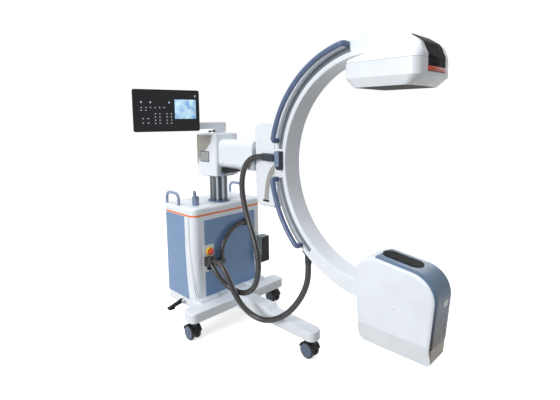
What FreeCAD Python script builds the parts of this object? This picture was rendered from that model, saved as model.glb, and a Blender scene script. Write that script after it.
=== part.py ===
import FreeCAD, Part
import math
import os
import re
import Sketcher

# A mobile C-arm X-ray unit. The origin is on the floor under the lifting column, +Z is up and
# +X points to the open side of the C. All lengths are in millimetres and angles in degrees.

# Driving sizes, each written once
SIZES = {
    # Castors
    "castor_height": 126, "castor_trail": 20, "castor_side": 371, "castor_front": 900,
    "castor_rear": 190, "stem_radius": 6, "stem_play": 0.08, "stem_length": 18, "turn_gap": 0.3,
    "wheel_radius": 50, "wheel_inside": 14, "wheel_width": 20, "tread_round": 4,
    "axle_radius": 5, "axle_play": 0.08, "web_half": 12, "hub_web": 38, "hood_gap": 2,
    "hood_wall": 4, "hood_side": 3, "hood_skirt": 12, "neck_radius": 22,
    # Chassis and front leg
    "beam_back": 133, "beam_depth": 120, "beam_half": 419, "beam_bottom": 138, "beam_top": 204,
    "beam_corner": 35, "beam_edge": 10, "boss_radius": 32, "spine_half": 45, "spine_length": 371,
    "spine_top": 150, "leg_half": 49, "leg_end": 944, "leg_tip_top": 184, "leg_top": 196,
    "leg_root_top": 222, "step_back": 540, "step_front": 575, "leg_corner": 40, "leg_edge": 9,
    # Cabinet
    "cabinet_back": 258, "cabinet_front": 120, "cabinet_half": 306, "cabinet_bottom": 207,
    "cabinet_top": 797, "cabinet_wall": 6, "cabinet_corner": 45, "panel_thick": 2,
    "panel_seam_low": 43, "panel_seam_high": 13, "panel_low": 3, "panel_high": 3,
    "stripe_height": 12, "stripe_proud": 1, "stripe_width": 14, "top_height": 47,
    "top_round": 20, "lip_front": 165, "lip_inside": 130, "lip_height": 18,
    "front_left": 220, "front_right": 235, "front_low": 15.5, "front_high": 32,
    "front_corner": 3, "service_left": 231, "service_right": 147, "service_drop": 142,
    "service_rise": 48, "service_corner": 9, "service_thick": 2.5,
    # Controls on the front
    "stop_side": 182, "stop_height": 541, "stop_collar": 30, "stop_collar_depth": 11,
    "stop_head": 20, "stop_stem": 12, "stop_play": 0.1, "stop_travel": 4, "stop_depth": 20,
    "socket_drop": 117, "socket_side": 188, "socket_radius": 17, "socket_depth": 9,
    # Column and lift
    "column_half": 48, "column_bore": 40, "column_play": 0.5, "column_top": 1040,
    "column_floor": 10, "column_corner": 8, "groove_place": 24, "groove_half": 4,
    "groove_depth": 3, "fit_gap": 0.5, "mast_bottom": 260, "mast_wall": 6.5, "mast_rise": 6,
    "plate_thick": 9.5, "plate_length": 180, "plate_width": 150, "flange_thick": 10,
    "flange_length": 164, "flange_width": 118, "lift_travel": 400, "ram_radius": 12,
    "ram_play": 0.05, "ram_tube": 20, "ram_tube_length": 480, "ram_overlap": 60,
    "pivot_radius": 30, "pivot_play": 0.05, "pivot_length": 30,
    # Generator inside the cabinet
    "generator_depth": 160, "generator_half": 200, "generator_height": 330,
    # Push handles, hand switch
    "handle_inset": 18, "handle_back": 236, "handle_front": 80, "handle_rise": 80,
    "handle_tube": 11, "handle_bend": 45, "handle_seat": 6, "cup_x": 15, "cup_side": 212,
    "cup_radius": 24, "cup_wall": 3, "cup_height": 60, "cup_floor": 4, "grip_radius": 11,
    "grip_length": 92, "grip_lean": 10, "grip_button": 6, "grip_button_rise": 5,
    # Foot switch on its bracket
    "bracket_inset": 70, "bracket_width": 70, "bracket_thick": 3, "bracket_low": 344,
    "bracket_high": 592, "bracket_strip": 12, "foot_inset": 64, "foot_width": 84,
    "foot_depth": 65, "foot_low": 358, "foot_height": 200, "foot_corner": 8,
    "treadle_thick": 10, "treadle_inset": 6, "treadle_play": 0.6, "treadle_throw": 14,
    "treadle_pin": 3, "treadle_pin_play": 0.05,
    # Brake pedal
    "brake_x": 35, "brake_half": 13, "brake_out": 16, "brake_height": 180, "brake_hub": 11,
    "brake_pin": 5, "brake_pin_play": 0.05, "brake_ear": 10, "brake_length": 103,
    "brake_drop": 25, "brake_thick": 12, "brake_foot": 20,
    # Head and cross arm
    "head_back": 122, "head_front": 113, "head_half": 101, "head_height": 299,
    "head_corner": 18, "arm_half": 75, "arm_height": 196, "arm_corner": 42, "arm_play": 0.5,
    "arm_lift": 62, "arm_back": 112, "arm_front": 462, "arm_wall": 8, "arm_end": 12,
    "head_wall": 4, "scoop_depth": 5, "scoop_back": 10, "scoop_low": 64, "scoop_bend": 96,
    "scoop_bend_x": 79, "scoop_front": 50, "scoop_fall": 55, "scoop_top": 10,
    "lever_side": 45, "lever_length": 172, "lever_out": 16, "lever_hub": 15,
    "lever_pin": 4, "lever_pin_play": 0.05,
    "lever_tall": 46, "lever_tip": 12, "lever_base_tall": 14, "lever_drop": 4,
    # Carriage
    "hub_radius": 70, "hub_gap": 0.5, "hub_thick": 6.5, "shaft_radius": 30,
    "shaft_play": 0.05, "collar_radius": 44, "collar_thick": 20, "carriage_depth": 187,
    "carriage_half": 55, "carriage_up": 250, "carriage_down": 288, "carriage_round": 60,
    "carriage_cut": 50, "track_gap": 4, "carriage_side_round": 14, "cheek_inside": 20,
    "cheek_thick": 8, "cheek_angle": 12, "roller_radius": 14, "roller_play": 0.3,
    "roller_half": 19.5, "roller_pin": 4, "roller_pin_play": 0.05, "roller_near": 3,
    "roller_far": 9,
    # C-arm
    "centre_drop": 27, "c_outer": 670, "c_inner": 581, "c_half": 65, "c_top": 76, "c_end": 268,
    "track_half": 33, "track_depth": 40, "recess_low": 608, "recess_high": 640,
    "recess_depth": 8, "recess_top": 101, "recess_middle": 172, "recess_under": 188,
    "recess_end": 232, "c_round": 6, "grab_radius": 652, "grab_side": 108, "grab_tube": 15,
    "grab_knee_ratio": 0.293,
    "grab_top": 102, "grab_middle": 168, "grab_under": 188.5, "grab_end": 226,
    # Cable entries on the C-arm
    "plate_back": 36, "plate_across": 38, "plate_deep": 4, "plate_low": -17,
    "plate_tall": 90, "block_deep": 34, "block_low": -38, "block_tall": 111,
    "block_bevel": 18, "boot_radius": 24, "boot_length": 112, "boot_side": 90,
    "boot_rise": 33, "foot_boot_angle": 231, "foot_boot_side": 38,
    "foot_boot_radius": 22, "foot_boot_length": 62,
    # Detector, from the centre of the C
    "detector_rise": 411, "bevel_rise": 42, "wall_rise": 74,
    "detector_back": -48, "detector_front": 244, "detector_nose": 251,
    "detector_half": 151, "low_corner": 28, "seam_back": -90, "seam_front": 295,
    "seam_nose": 307, "seam_half": 170, "detector_corner": 45, "nose_round": 200,
    "crown_rise": 120, "crown_half": 88, "crown_foot": 8, "crown_slope_x": 57,
    "crown_slope_drop": 72, "crown_ridge_x": 158, "crown_brow_x": 206,
    "crown_brow_drop": 5, "crown_cheek_x": 275, "crown_cheek_drop": 50,
    "crown_round": 50, "crown_sharp": 0.5, "window_inset": 5, "window_thick": 3,
    "strap_half": 87, "strap_thick": 2.5, "strap_back": 222, "strap_rise": 57,
    "sleeve_reach": 40,
    # Tube housing, from the centre of the C
    "tube_left_low": -41, "tube_right_low": 344, "tube_right": 382, "tube_left": -74,
    "tube_low": -884, "tube_top_left": -396, "tube_top_right": -452, "tube_round_left": 125,
    "tube_round_right": 130, "tube_round_low": 40, "tube_round_heel": 24,
    "tube_half": 95, "tube_rim": 24, "tube_half_low": 68, "tube_ridge": -777, "tube_wall": 8,
    "tube_slot": 60, "band_half": 88, "band_thick": 2, "band_back": 56, "band_low": -789,
    "lid_back": 56, "lid_length": 212, "lid_half": 43, "lid_thick": 5, "lid_corner": 42.5,
    "source_radius": 60, "source_x": 154, "source_z": -649, "beam_box_half": 62,
    "beam_box_top": -489,
    # Monitor
    "monitor_x": 40, "monitor_side": 418, "monitor_rise": 102, "monitor_width": 415,
    "monitor_height": 265, "monitor_thick": 26, "monitor_corner": 12, "monitor_yaw": 17,
    "glass_inset": 9, "glass_thick": 2, "bracket_plate": 10, "bracket_bar": 46,
    "bracket_bar_low": 30, "bracket_foot": 40, "bracket_foot_thick": 10, "bracket_y": 30,
    "bracket_x": 5, "bracket_half": 50, "swivel_pin": 12, "swivel_pin_play": 0.05,
    "swivel_pin_length": 15, "knuckle_radius": 10, "knuckle_half": 13.5, "ear_gap": 0.5,
    "ear_thick": 10, "tilt_pin": 5, "tilt_pin_play": 0.05, "tilt_back": 11,
    # Hoses
    "hose_radius": 18, "loop_radius": 15.5, "exit_side": 207, "exit_half": 23,
    "exit_front": 200, "exit_drop": 93, "exit_middle_drop": 58, "exit_rise": 20,
    "exit_top_drop": 15, "exit_shoulder_drop": 33, "exit_step": 16, "exit_cap": 22,
    "outlet_side": 99, "outlet_half": 19, "outlet_front": 168, "outlet_x": 150,
    "outlet_drop": 101, "outlet_top_drop": 67, "hose_steep_run": 60, "hose_level_run": 48,
    "boot_run": 50, "boot_drop": 60, "gland_reach": 25,
    "gland_side": 118, "gland_size": 44, "gland_height": 694,
}

V = FreeCAD.Vector
AXES = {"x": V(1, 0, 0), "y": V(0, 1, 0), "z": V(0, 0, 1)}
PLANES = {"x": "YZ_Plane", "y": "XZ_Plane", "z": "XY_Plane"}
WHOLE_TURN = "360"

doc = FreeCAD.newDocument("MobileCArm")
sizes = doc.addObject("Spreadsheet::Sheet", "Sizes")
for row, (word, number) in enumerate(SIZES.items(), start=1):
    sizes.set("A%d" % row, word)
    sizes.set("B%d" % row, str(number))
    sizes.setAlias("B%d" % row, word)
doc.recompute()

nodes = {}


def at(word):
    """The number that the sheet holds under this word."""
    return float(sizes.get(word))


def cell(text):
    """An expression whose words are the sheet's cells."""
    return re.sub(r"[a-z]+(?:_[a-z]+)+", lambda found: "Sizes." + found.group(0), text)


# Places that follow from the driving sizes
STRIPE_TOP = "(cabinet_top + stripe_height)"
COVER_TOP = "(cabinet_top + stripe_height + top_height)"
MAST_TOP = "(column_top + mast_rise)"
PLATE_TOP = "(column_top + mast_rise + plate_thick)"
HEAD_LOW = "(column_top + mast_rise + plate_thick + fit_gap)"
HEAD_TOP = "(column_top + mast_rise + plate_thick + fit_gap + head_height)"
ARM_LOW = "(column_top + mast_rise + plate_thick + fit_gap + arm_lift)"
ARM_AXIS = "(column_top + mast_rise + plate_thick + fit_gap + arm_lift + arm_height / 2)"
HUB_BACK = "(arm_front + hub_gap)"
CENTRE_X = "(arm_front + hub_gap + hub_thick + carriage_depth + c_outer)"
CENTRE_Z = ("(column_top + mast_rise + plate_thick + fit_gap + arm_lift + arm_height / 2"
            " - centre_drop)")
FOOT_SIDE = "(cabinet_half - foot_inset)"
SERVICE_LOW = "(stop_height - service_drop)"
SERVICE_HIGH = "(stop_height + service_rise)"
SERVICE_FACE = "(cabinet_front + service_thick)"
PANEL_FACE = "(cabinet_front + panel_thick)"


# Sketches and features
def bind(thing, prop, text):
    thing.setExpression(prop, cell(text))


def new_body(label):
    body = doc.addObject("PartDesign::Body", label)
    body.Label = label
    return body


def keep(label, thing):
    """Marks a finished object as the sub-part of this name."""
    thing.Label = label
    nodes[label] = thing
    return thing


def new_sketch(body, axis, lift):
    sketch = body.newObject("Sketcher::SketchObject", body.Name + "_sketch")
    plane = [face for face in body.Origin.OriginFeatures if face.Role == PLANES[axis]][0]
    sketch.AttachmentSupport = (plane, [""])
    sketch.MapMode = "FlatFace"
    bind(sketch, ".AttachmentOffset.Base.z", lift)
    return sketch


def fix_point(sketch, piece, end, place, start):
    """Ties one end of a piece of the sketch to its place from the origin."""
    for name, text, value in (("DistanceX", place[0], start.x), ("DistanceY", place[1], start.y)):
        index = sketch.addConstraint(Sketcher.Constraint(name, -1, 1, piece, end, value))
        sketch.setExpression("Constraints[%d]" % index, cell(text))


def draw_outline(sketch, points):
    """A closed outline of straight lines, each corner tied to its place."""
    count = len(points)
    first = sketch.GeometryCount
    turn = 2 * math.pi / count
    ring = [V(100 * math.cos(turn * i), 100 * math.sin(turn * i), 0) for i in range(count)]
    for i in range(count):
        sketch.addGeometry(Part.LineSegment(ring[i], ring[(i + 1) % count]), False)
    for i in range(count):
        following = first + (i + 1) % count
        sketch.addConstraint(Sketcher.Constraint("Coincident", first + i, 2, following, 1))
        fix_point(sketch, first + i, 1, points[i], ring[i])


def draw_circle(sketch, centre, radius):
    piece = sketch.addGeometry(Part.Circle(V(10, 10, 0), V(0, 0, 1), 10), False)
    fix_point(sketch, piece, 3, centre, V(10, 10, 0))
    index = sketch.addConstraint(Sketcher.Constraint("Radius", piece, 10))
    sketch.setExpression("Constraints[%d]" % index, cell(radius))


def raise_or_cut(body, sketch, low, high, cut):
    kind = "Pocket" if cut else "Pad"
    feature = body.newObject("PartDesign::" + kind, body.Name + "_" + kind.lower())
    feature.Profile = sketch
    feature.Reversed = cut
    bind(feature, "Length", "(%s) - (%s)" % (high, low))
    body.Tip = feature
    return feature


def lift_of(axis, low, high):
    """A sketch across Y faces -Y, so it stands at the far end of its stretch."""
    return "-(%s)" % high if axis == "y" else low


def prism(body, axis, points, low, high, cut=False):
    """Raises or cuts an outline along an axis from low to high."""
    sketch = new_sketch(body, axis, lift_of(axis, low, high))
    draw_outline(sketch, points)
    return raise_or_cut(body, sketch, low, high, cut)


def discs(body, axis, centres, radius, low, high, cut=False):
    """Raises or cuts round pieces along an axis from low to high."""
    sketch = new_sketch(body, axis, lift_of(axis, low, high))
    for centre in centres:
        draw_circle(sketch, centre, radius)
    return raise_or_cut(body, sketch, low, high, cut)


def box_points(left, right, low, high):
    return [(left, low), (right, low), (right, high), (left, high)]


def turned(body, points):
    """A piece turned about the body's own Z axis, from radius and height pairs."""
    sketch = new_sketch(body, "y", "0")
    draw_outline(sketch, points)
    feature = body.newObject("PartDesign::Revolution", body.Name + "_turned")
    feature.Profile = sketch
    feature.ReferenceAxis = (sketch, ["V_Axis"])
    bind(feature, "Angle", WHOLE_TURN)
    body.Tip = feature
    return feature


def swept_round(body, points, start, end, cut=False):
    """Sweeps a section of radius and width about the body's Y axis.

    The sweep runs from the end angle back to the start angle, both measured from +X to +Z.
    """
    sketch = new_sketch(body, "z", "0")
    sketch.AttachmentOffset = FreeCAD.Placement(V(), FreeCAD.Rotation(V(0, -1, 0), 10))
    bind(sketch, ".AttachmentOffset.Rotation.Angle", end)
    draw_outline(sketch, points)
    kind = "Groove" if cut else "Revolution"
    feature = body.newObject("PartDesign::" + kind, body.Name + "_" + kind.lower())
    feature.Profile = sketch
    feature.ReferenceAxis = (sketch, ["V_Axis"])
    bind(feature, "Angle", "(%s) - (%s)" % (end, start))
    body.Tip = feature
    return feature


def dress(body, kind, size, chosen):
    """Rounds or bevels the chosen edges of the body."""
    doc.recompute()
    base = body.Tip
    edges = ["Edge%d" % (i + 1) for i, edge in enumerate(base.Shape.Edges) if chosen(edge)]
    if not edges:
        raise RuntimeError("no edge chosen on " + body.Name)
    feature = body.newObject("PartDesign::" + kind, body.Name + "_" + kind.lower())
    feature.Base = (base, edges)
    bind(feature, "Radius" if kind == "Fillet" else "Size", size)
    body.Tip = feature
    return feature


def along(axis):
    def chosen(edge):
        straight = edge.Curve.TypeId == "Part::GeomLine"
        return straight and abs(edge.tangentAt(edge.FirstParameter).dot(AXES[axis])) > 0.999
    return chosen


def span(edge, axis):
    box = edge.BoundBox
    return {"x": (box.XMin, box.XMax), "y": (box.YMin, box.YMax), "z": (box.ZMin, box.ZMax)}[axis]


def level(axis, place):
    """Edges that lie wholly at one place along an axis."""
    def chosen(edge):
        low, high = span(edge, axis)
        return abs(low - place) < 0.01 and abs(high - place) < 0.01
    return chosen


def both(*tests):
    return lambda edge: all(test(edge) for test in tests)


def either(*tests):
    return lambda edge: any(test(edge) for test in tests)


def put(thing, x="0", y="0", z="0"):
    """Places an object by the sheet's sizes."""
    bind(thing, ".Placement.Base.x", x)
    bind(thing, ".Placement.Base.y", y)
    bind(thing, ".Placement.Base.z", z)
    return thing


def aim(thing, axis, degrees):
    """Turns an object about one of its own axes, its place unchanged."""
    thing.Placement = FreeCAD.Placement(V(), FreeCAD.Rotation(AXES[axis], degrees))
    return thing


# Shapes made with Part's own functions, for forms that no sketch feature makes
def rounded(corners):
    """A closed wire through corners, each rounded by an arc of its own radius."""
    count = len(corners)
    edges = []
    ends = []
    for i in range(count):
        point, radius = corners[i]
        back = (corners[i - 1][0] - point).normalize()
        ahead = (corners[(i + 1) % count][0] - point).normalize()
        half = back.getAngle(ahead) / 2
        run = radius / math.tan(half)
        middle = (back + ahead).normalize() * (radius / math.sin(half) - radius)
        ends.append((point + back * run, point + middle, point + ahead * run))
    for i in range(count):
        start, middle, end = ends[i]
        edges.append(Part.Arc(start, middle, end).toShape())
        edges.append(Part.LineSegment(end, ends[(i + 1) % count][0]).toShape())
    return Part.Wire(edges)


def slab(wire, direction):
    return Part.Face(wire).extrude(direction)


def block(low, high):
    size = high - low
    return Part.makeBox(size.x, size.y, size.z, low)


def made(label, shape, solids=1, place=None):
    """A sub-part whose shape was made above, set down at a place."""
    if len(shape.Solids) == 1:
        shape = shape.Solids[0]
    elif len(shape.Solids) != solids:
        raise RuntimeError("%s has %d solids" % (label, len(shape.Solids)))
    thing = doc.addObject("Part::Feature", label)
    thing.Shape = shape
    if place is not None:
        thing.Placement.Base = place
    return keep(label, thing)


def bent_path(points, radius_of):
    """Straight runs joined by tangent arcs, and the arcs' radii."""
    edges = []
    radii = []
    start = points[0]
    for i in range(1, len(points) - 1):
        back = points[i - 1] - points[i]
        ahead = points[i + 1] - points[i]
        half_turn = (math.pi - back.getAngle(ahead)) / 2
        radius = radius_of(min(back.Length, ahead.Length), half_turn)
        back.normalize()
        ahead.normalize()
        run = radius * math.tan(half_turn)
        sag = radius / math.cos(half_turn) - radius
        inward = (back + ahead).normalize()
        entry = points[i] + back * run
        leave = points[i] + ahead * run
        edges.append(Part.LineSegment(start, entry).toShape())
        edges.append(Part.Arc(entry, points[i] + inward * sag, leave).toShape())
        radii.append(radius)
        start = leave
    edges.append(Part.LineSegment(start, points[-1]).toShape())
    return Part.Wire(edges), radii


def pipe(path, radius):
    first = path.Edges[0]
    direction = first.tangentAt(first.FirstParameter)
    ring = Part.Wire([Part.Circle(path.Vertexes[0].Point, direction, radius).toShape()])
    return path.makePipeShell([ring], True, True)


# Castors: a twin-wheel castor with a hood, made four times
CASTORS = (
    ("beam_back + beam_depth / 2", "castor_side"),
    ("beam_back + beam_depth / 2", "-castor_side"),
    ("castor_front", "0"),
    ("-castor_rear", "0"),
)


def castor_fork(label, x, y):
    body = new_body(label)
    hood = "(wheel_radius + hood_gap + hood_wall)"
    wheel_out = "(wheel_inside + wheel_width + hood_side)"
    centre = [("-castor_trail", "wheel_radius")]
    top = "(castor_height - turn_gap)"
    discs(body, "y", centre, hood, "-" + wheel_out, wheel_out)
    discs(body, "z", [("0", "0")], "neck_radius", "wheel_radius", top)
    skirt = box_points("-2 * castor_trail - wheel_radius", "wheel_radius",
                       "-castor_trail", "wheel_radius + hood_skirt")
    prism(body, "y", skirt, "-" + wheel_out, wheel_out, cut=True)
    space = "(wheel_radius + hood_gap)"
    discs(body, "y", centre, space, "web_half", wheel_out, cut=True)
    discs(body, "y", centre, space, "-" + wheel_out, "-web_half", cut=True)
    discs(body, "y", centre, "hub_web", "-web_half", "web_half")
    discs(body, "z", [("0", "0")], "stem_radius", top, top + " + stem_length")
    discs(body, "y", centre, "(axle_radius + axle_play)", "-web_half", "web_half", cut=True)
    put(body, x, y)
    return keep(label, body)


def castor_wheels(label, x, y):
    body = new_body(label)
    out = "(wheel_inside + wheel_width)"
    rim = "(wheel_radius - tread_round)"
    half = [("axle_radius", "wheel_inside"), (rim, "wheel_inside"),
            ("wheel_radius", "wheel_inside + tread_round"),
            ("wheel_radius", out + " - tread_round"), (rim, out), ("0", out)]
    mirrored = [(radius, "-(%s)" % place) for radius, place in reversed(half)]
    turned(body, mirrored + half)
    aim(body, "x", 90)
    put(body, x + " - castor_trail", y, "wheel_radius")
    return keep(label, body)


for number, (stem_x, stem_y) in enumerate(CASTORS, start=1):
    castor_fork("castor_fork_%d" % number, stem_x, stem_y)
    castor_wheels("castor_wheels_%d" % number, stem_x, stem_y)


# Chassis: cross-beam and rear spine in one casting, with a boss and bore for each stem
def chassis():
    body = new_body("chassis")
    front = "(beam_back + beam_depth)"
    prism(body, "z", box_points("beam_back", front, "-beam_half", "beam_half"),
          "beam_bottom", "beam_top")
    dress(body, "Fillet", "beam_corner", along("z"))
    dress(body, "Fillet", "beam_edge", level("z", at("beam_top")))
    prism(body, "z", box_points("beam_back - spine_length", "beam_back + beam_edge",
                                "-spine_half", "spine_half"), "castor_height", "spine_top")
    sides = CASTORS[:2]
    discs(body, "z", sides, "boss_radius", "castor_height", "beam_bottom")
    stems = [CASTORS[0], CASTORS[1], CASTORS[3]]
    discs(body, "z", stems, "stem_radius + stem_play", "castor_height",
          "castor_height + stem_length + turn_gap", cut=True)
    keep("chassis", body)


def front_leg():
    body = new_body("front_leg")
    root = "(beam_back + beam_depth)"
    side = [(root, "castor_height"), ("leg_end", "castor_height"), ("leg_end", "leg_tip_top"),
            ("step_front", "leg_top"), ("step_back", "leg_root_top"), (root, "leg_root_top")]
    prism(body, "y", side, "-leg_half", "leg_half")
    dress(body, "Fillet", "leg_corner", both(along("z"), level("x", at("leg_end"))))
    low = at("castor_height") + 1

    def upper_side(edge):
        flank = abs(abs(edge.BoundBox.YMax) - at("leg_half")) < 0.01
        return flank and edge.BoundBox.ZMin > low and edge.BoundBox.XLength > 1
    dress(body, "Fillet", "leg_edge", upper_side)
    discs(body, "z", [CASTORS[2]], "stem_radius + stem_play", "castor_height",
          "castor_height + stem_length + turn_gap", cut=True)
    keep("front_leg", body)


chassis()
front_leg()


# Cabinet: every layer shares one rounded plan, grown or shrunk by a margin
def plan(grow, front="cabinet_front"):
    return box_points("-(cabinet_back + %s)" % grow, "%s + %s" % (front, grow),
                      "-(cabinet_half + %s)" % grow, "cabinet_half + %s" % grow)


def corners_at(side, axis="z"):
    """The corner edges of an outline whose sides are this far from the middle."""
    straight = along(axis)
    return lambda edge: straight(edge) and abs(abs(edge.BoundBox.YMax) - side) < 0.01


def column_hole(body, low, high):
    side = "(column_half + fit_gap)"
    prism(body, "z", box_points("-" + side, side, "-" + side, side), low, high, cut=True)


def base_cover():
    body = new_body("base_cover")
    prism(body, "z", plan("0", "beam_back"), "spine_top", "cabinet_bottom")
    prism(body, "z", plan("-cabinet_wall", "beam_back"), "spine_top",
          "cabinet_bottom - cabinet_wall", cut=True)
    back = -at("cabinet_back")
    inner = both(along("z"), level("x", back + at("cabinet_wall")))
    dress(body, "Fillet", "cabinet_corner - cabinet_wall", inner)
    dress(body, "Fillet", "cabinet_corner", both(along("z"), level("x", back)))
    column_hole(body, "spine_top", "cabinet_bottom")
    lips = ("lip_inside", "cabinet_half"), ("-cabinet_half", "-lip_inside")
    for near, far in lips:
        prism(body, "z", box_points("cabinet_front", "lip_front", near, far),
              "beam_top", "beam_top + lip_height")
    corners = both(along("z"), level("x", at("lip_front")))
    dress(body, "Fillet", "cabinet_corner - stripe_width", corners)
    hub_y = "-(cabinet_half + brake_out)"
    outer = "(brake_half + brake_ear + fit_gap)"
    inner = "(brake_half + fit_gap)"
    ears = ((("-brake_x - " + outer), ("-brake_x - " + inner)),
            (("-brake_x + " + inner), ("-brake_x + " + outer)))
    ear = [("-cabinet_half", "brake_height - brake_hub"), (hub_y, "brake_height - brake_hub"),
           (hub_y, "brake_height + brake_hub"), ("-cabinet_half", "brake_height + brake_hub")]
    for low, high in ears:
        prism(body, "x", ear, low, high)
        discs(body, "x", [(hub_y, "brake_height")], "brake_hub", low, high)
    discs(body, "x", [(hub_y, "brake_height")], "brake_pin", "-brake_x - " + inner,
          "-brake_x + " + inner)
    keep("base_cover", body)


def cabinet_shell():
    body = new_body("cabinet_shell")
    prism(body, "z", plan("0"), "cabinet_bottom", "cabinet_top")
    prism(body, "z", plan("-cabinet_wall"), "cabinet_bottom", "cabinet_top", cut=True)
    outside = at("cabinet_half")
    dress(body, "Fillet", "cabinet_corner - cabinet_wall", corners_at(outside - at("cabinet_wall")))
    dress(body, "Fillet", "cabinet_corner", corners_at(outside))
    discs(body, "x", [("-stop_side", "stop_height")], "stop_stem + stop_play",
          "cabinet_front - 2 * cabinet_wall", "cabinet_front", cut=True)
    keep("cabinet_shell", body)


def body_panels():
    """One wrapped panel over the near, rear and far sides, with a slanting front edge."""
    body = new_body("body_panels")
    low = "(cabinet_bottom + panel_low)"
    high = "(cabinet_top - panel_high)"
    prism(body, "z", plan("panel_thick"), low, high)
    prism(body, "z", plan("0"), low, high, cut=True)
    inside = at("cabinet_half")
    dress(body, "Fillet", "cabinet_corner", corners_at(inside))
    dress(body, "Fillet", "cabinet_corner + panel_thick", corners_at(inside + at("panel_thick")))
    beyond = "(cabinet_front + 2 * panel_thick)"
    width = "(cabinet_half + 2 * panel_thick)"
    seam = [("panel_seam_low", "cabinet_bottom"), (beyond, "cabinet_bottom"),
            (beyond, "cabinet_top"), ("panel_seam_high - service_corner", "cabinet_top"),
            ("panel_seam_high", "cabinet_top - service_corner"),
            ("panel_seam_high", "stop_height"),
            ("(2 * panel_seam_high + panel_seam_low) / 3", "(cabinet_bottom + stop_height) / 2")]
    prism(body, "y", seam, "-" + width, width, cut=True)
    keep("body_panels", body)


def front_panel():
    body = new_body("front_panel")
    low = "(cabinet_bottom + front_low)"
    high = "(cabinet_top - front_high)"
    edge_y = "-service_right + fit_gap"
    outline = [("-front_left", low), ("front_right", low), ("front_right", high),
               ("-front_left", high), ("-front_left", SERVICE_HIGH + " + fit_gap"),
               (edge_y, SERVICE_HIGH + " + fit_gap"), (edge_y, SERVICE_LOW + " - fit_gap"),
               ("-front_left", SERVICE_LOW + " - fit_gap")]
    prism(body, "x", outline, "cabinet_front", PANEL_FACE)
    ends = (at("cabinet_bottom") + at("front_low"), at("cabinet_top") - at("front_high"))
    corners = either(*[level("z", place) for place in ends])
    dress(body, "Fillet", "front_corner", both(along("x"), corners))
    keep("front_panel", body)


def service_plate():
    body = new_body("service_plate")
    prism(body, "x", box_points("-service_left", "-service_right", SERVICE_LOW,
                                SERVICE_HIGH), "cabinet_front", SERVICE_FACE)
    dress(body, "Fillet", "service_corner", along("x"))
    discs(body, "x", [("-stop_side", "stop_height")], "stop_stem + stop_play",
          "cabinet_front", SERVICE_FACE, cut=True)
    keep("service_plate", body)


def accent_stripe():
    body = new_body("accent_stripe")
    prism(body, "z", plan("stripe_proud"), "cabinet_top", STRIPE_TOP)
    dress(body, "Fillet", "cabinet_corner + stripe_proud", along("z"))
    prism(body, "z", plan("-stripe_width"), "cabinet_top", STRIPE_TOP, cut=True)
    keep("accent_stripe", body)


def top_cover():
    body = new_body("top_cover")
    prism(body, "z", plan("0"), STRIPE_TOP, COVER_TOP)
    dress(body, "Fillet", "cabinet_corner", along("z"))
    roof = at("cabinet_top") + at("stripe_height") + at("top_height")
    dress(body, "Fillet", "top_round", level("z", roof))
    prism(body, "z", plan("-top_round"), STRIPE_TOP, COVER_TOP + " - 2 * cabinet_wall", cut=True)
    column_hole(body, STRIPE_TOP, COVER_TOP)
    feet = [(x, y) for x in ("-handle_back", "-handle_front")
            for y in ("-(cabinet_half - handle_inset)", "cabinet_half - handle_inset")]
    discs(body, "z", feet, "handle_tube", COVER_TOP + " - handle_seat", COVER_TOP, cut=True)
    keep("top_cover", body)


base_cover()
cabinet_shell()
body_panels()
front_panel()
service_plate()
accent_stripe()
top_cover()


# Controls on the front: emergency stop and mains inlet
def emergency_stop():
    collar = new_body("stop_collar")
    hole = "(stop_stem + stop_play)"
    turned(collar, [(hole, "0"), ("stop_collar", "0"), ("stop_collar", "stop_collar_depth / 2"),
                    ("stop_collar - stop_travel", "stop_collar_depth"),
                    (hole, "stop_collar_depth")])
    button = new_body("stop_button")
    under = "(stop_collar_depth + stop_travel + 1)"
    turned(button, [("0", "-2 * service_thick"), ("stop_stem", "-2 * service_thick"),
                    ("stop_stem", under), ("stop_head", under),
                    ("stop_head", under + " + stop_depth / 2"),
                    ("stop_stem", under + " + stop_depth"), ("0", under + " + stop_depth")])
    for piece in (collar, button):
        aim(piece, "y", 90)
        put(piece, SERVICE_FACE, "-stop_side", "stop_height")
        keep(piece.Name, piece)


def mains_inlet():
    body = new_body("mains_inlet")
    inside = "(socket_radius - cabinet_wall / 2)"
    turned(body, [("0", "0"), ("socket_radius", "0"), ("socket_radius", "socket_depth"),
                  (inside, "socket_depth"), (inside, "socket_depth / 3"),
                  ("0", "socket_depth / 3")])
    aim(body, "y", 90)
    put(body, SERVICE_FACE, "-socket_side", "stop_height - socket_drop")
    keep("mains_inlet", body)


emergency_stop()
mains_inlet()


# Column, lift and the pieces inside
def outer_column():
    body = new_body("outer_column")
    side = "column_half"
    prism(body, "z", box_points("-" + side, side, "-" + side, side), "spine_top", "column_top")
    dress(body, "Fillet", "column_corner", along("z"))
    bore = "column_bore"
    prism(body, "z", box_points("-" + bore, bore, "-" + bore, bore),
          "spine_top + column_floor", "column_top", cut=True)
    flank = "(column_half - groove_depth)"
    for place in ("-groove_place", "groove_place"):
        low = place + " - groove_half"
        high = place + " + groove_half"
        for start, end in (("-column_half", "-" + flank), (flank, "column_half")):
            prism(body, "z", box_points(low, high, start, end), "spine_top", "column_top", cut=True)
            prism(body, "z", box_points(start, end, low, high), "spine_top", "column_top", cut=True)
    keep("outer_column", body)


def lift_actuator():
    body = new_body("lift_actuator")
    bore = "(ram_radius + ram_play)"
    floor = "column_floor"
    turned(body, [("0", "0"), ("ram_tube", "0"), ("ram_tube", "ram_tube_length"),
                  (bore, "ram_tube_length"), (bore, floor), ("0", floor)])
    put(body, z="spine_top + column_floor")
    keep("lift_actuator", body)


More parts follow.
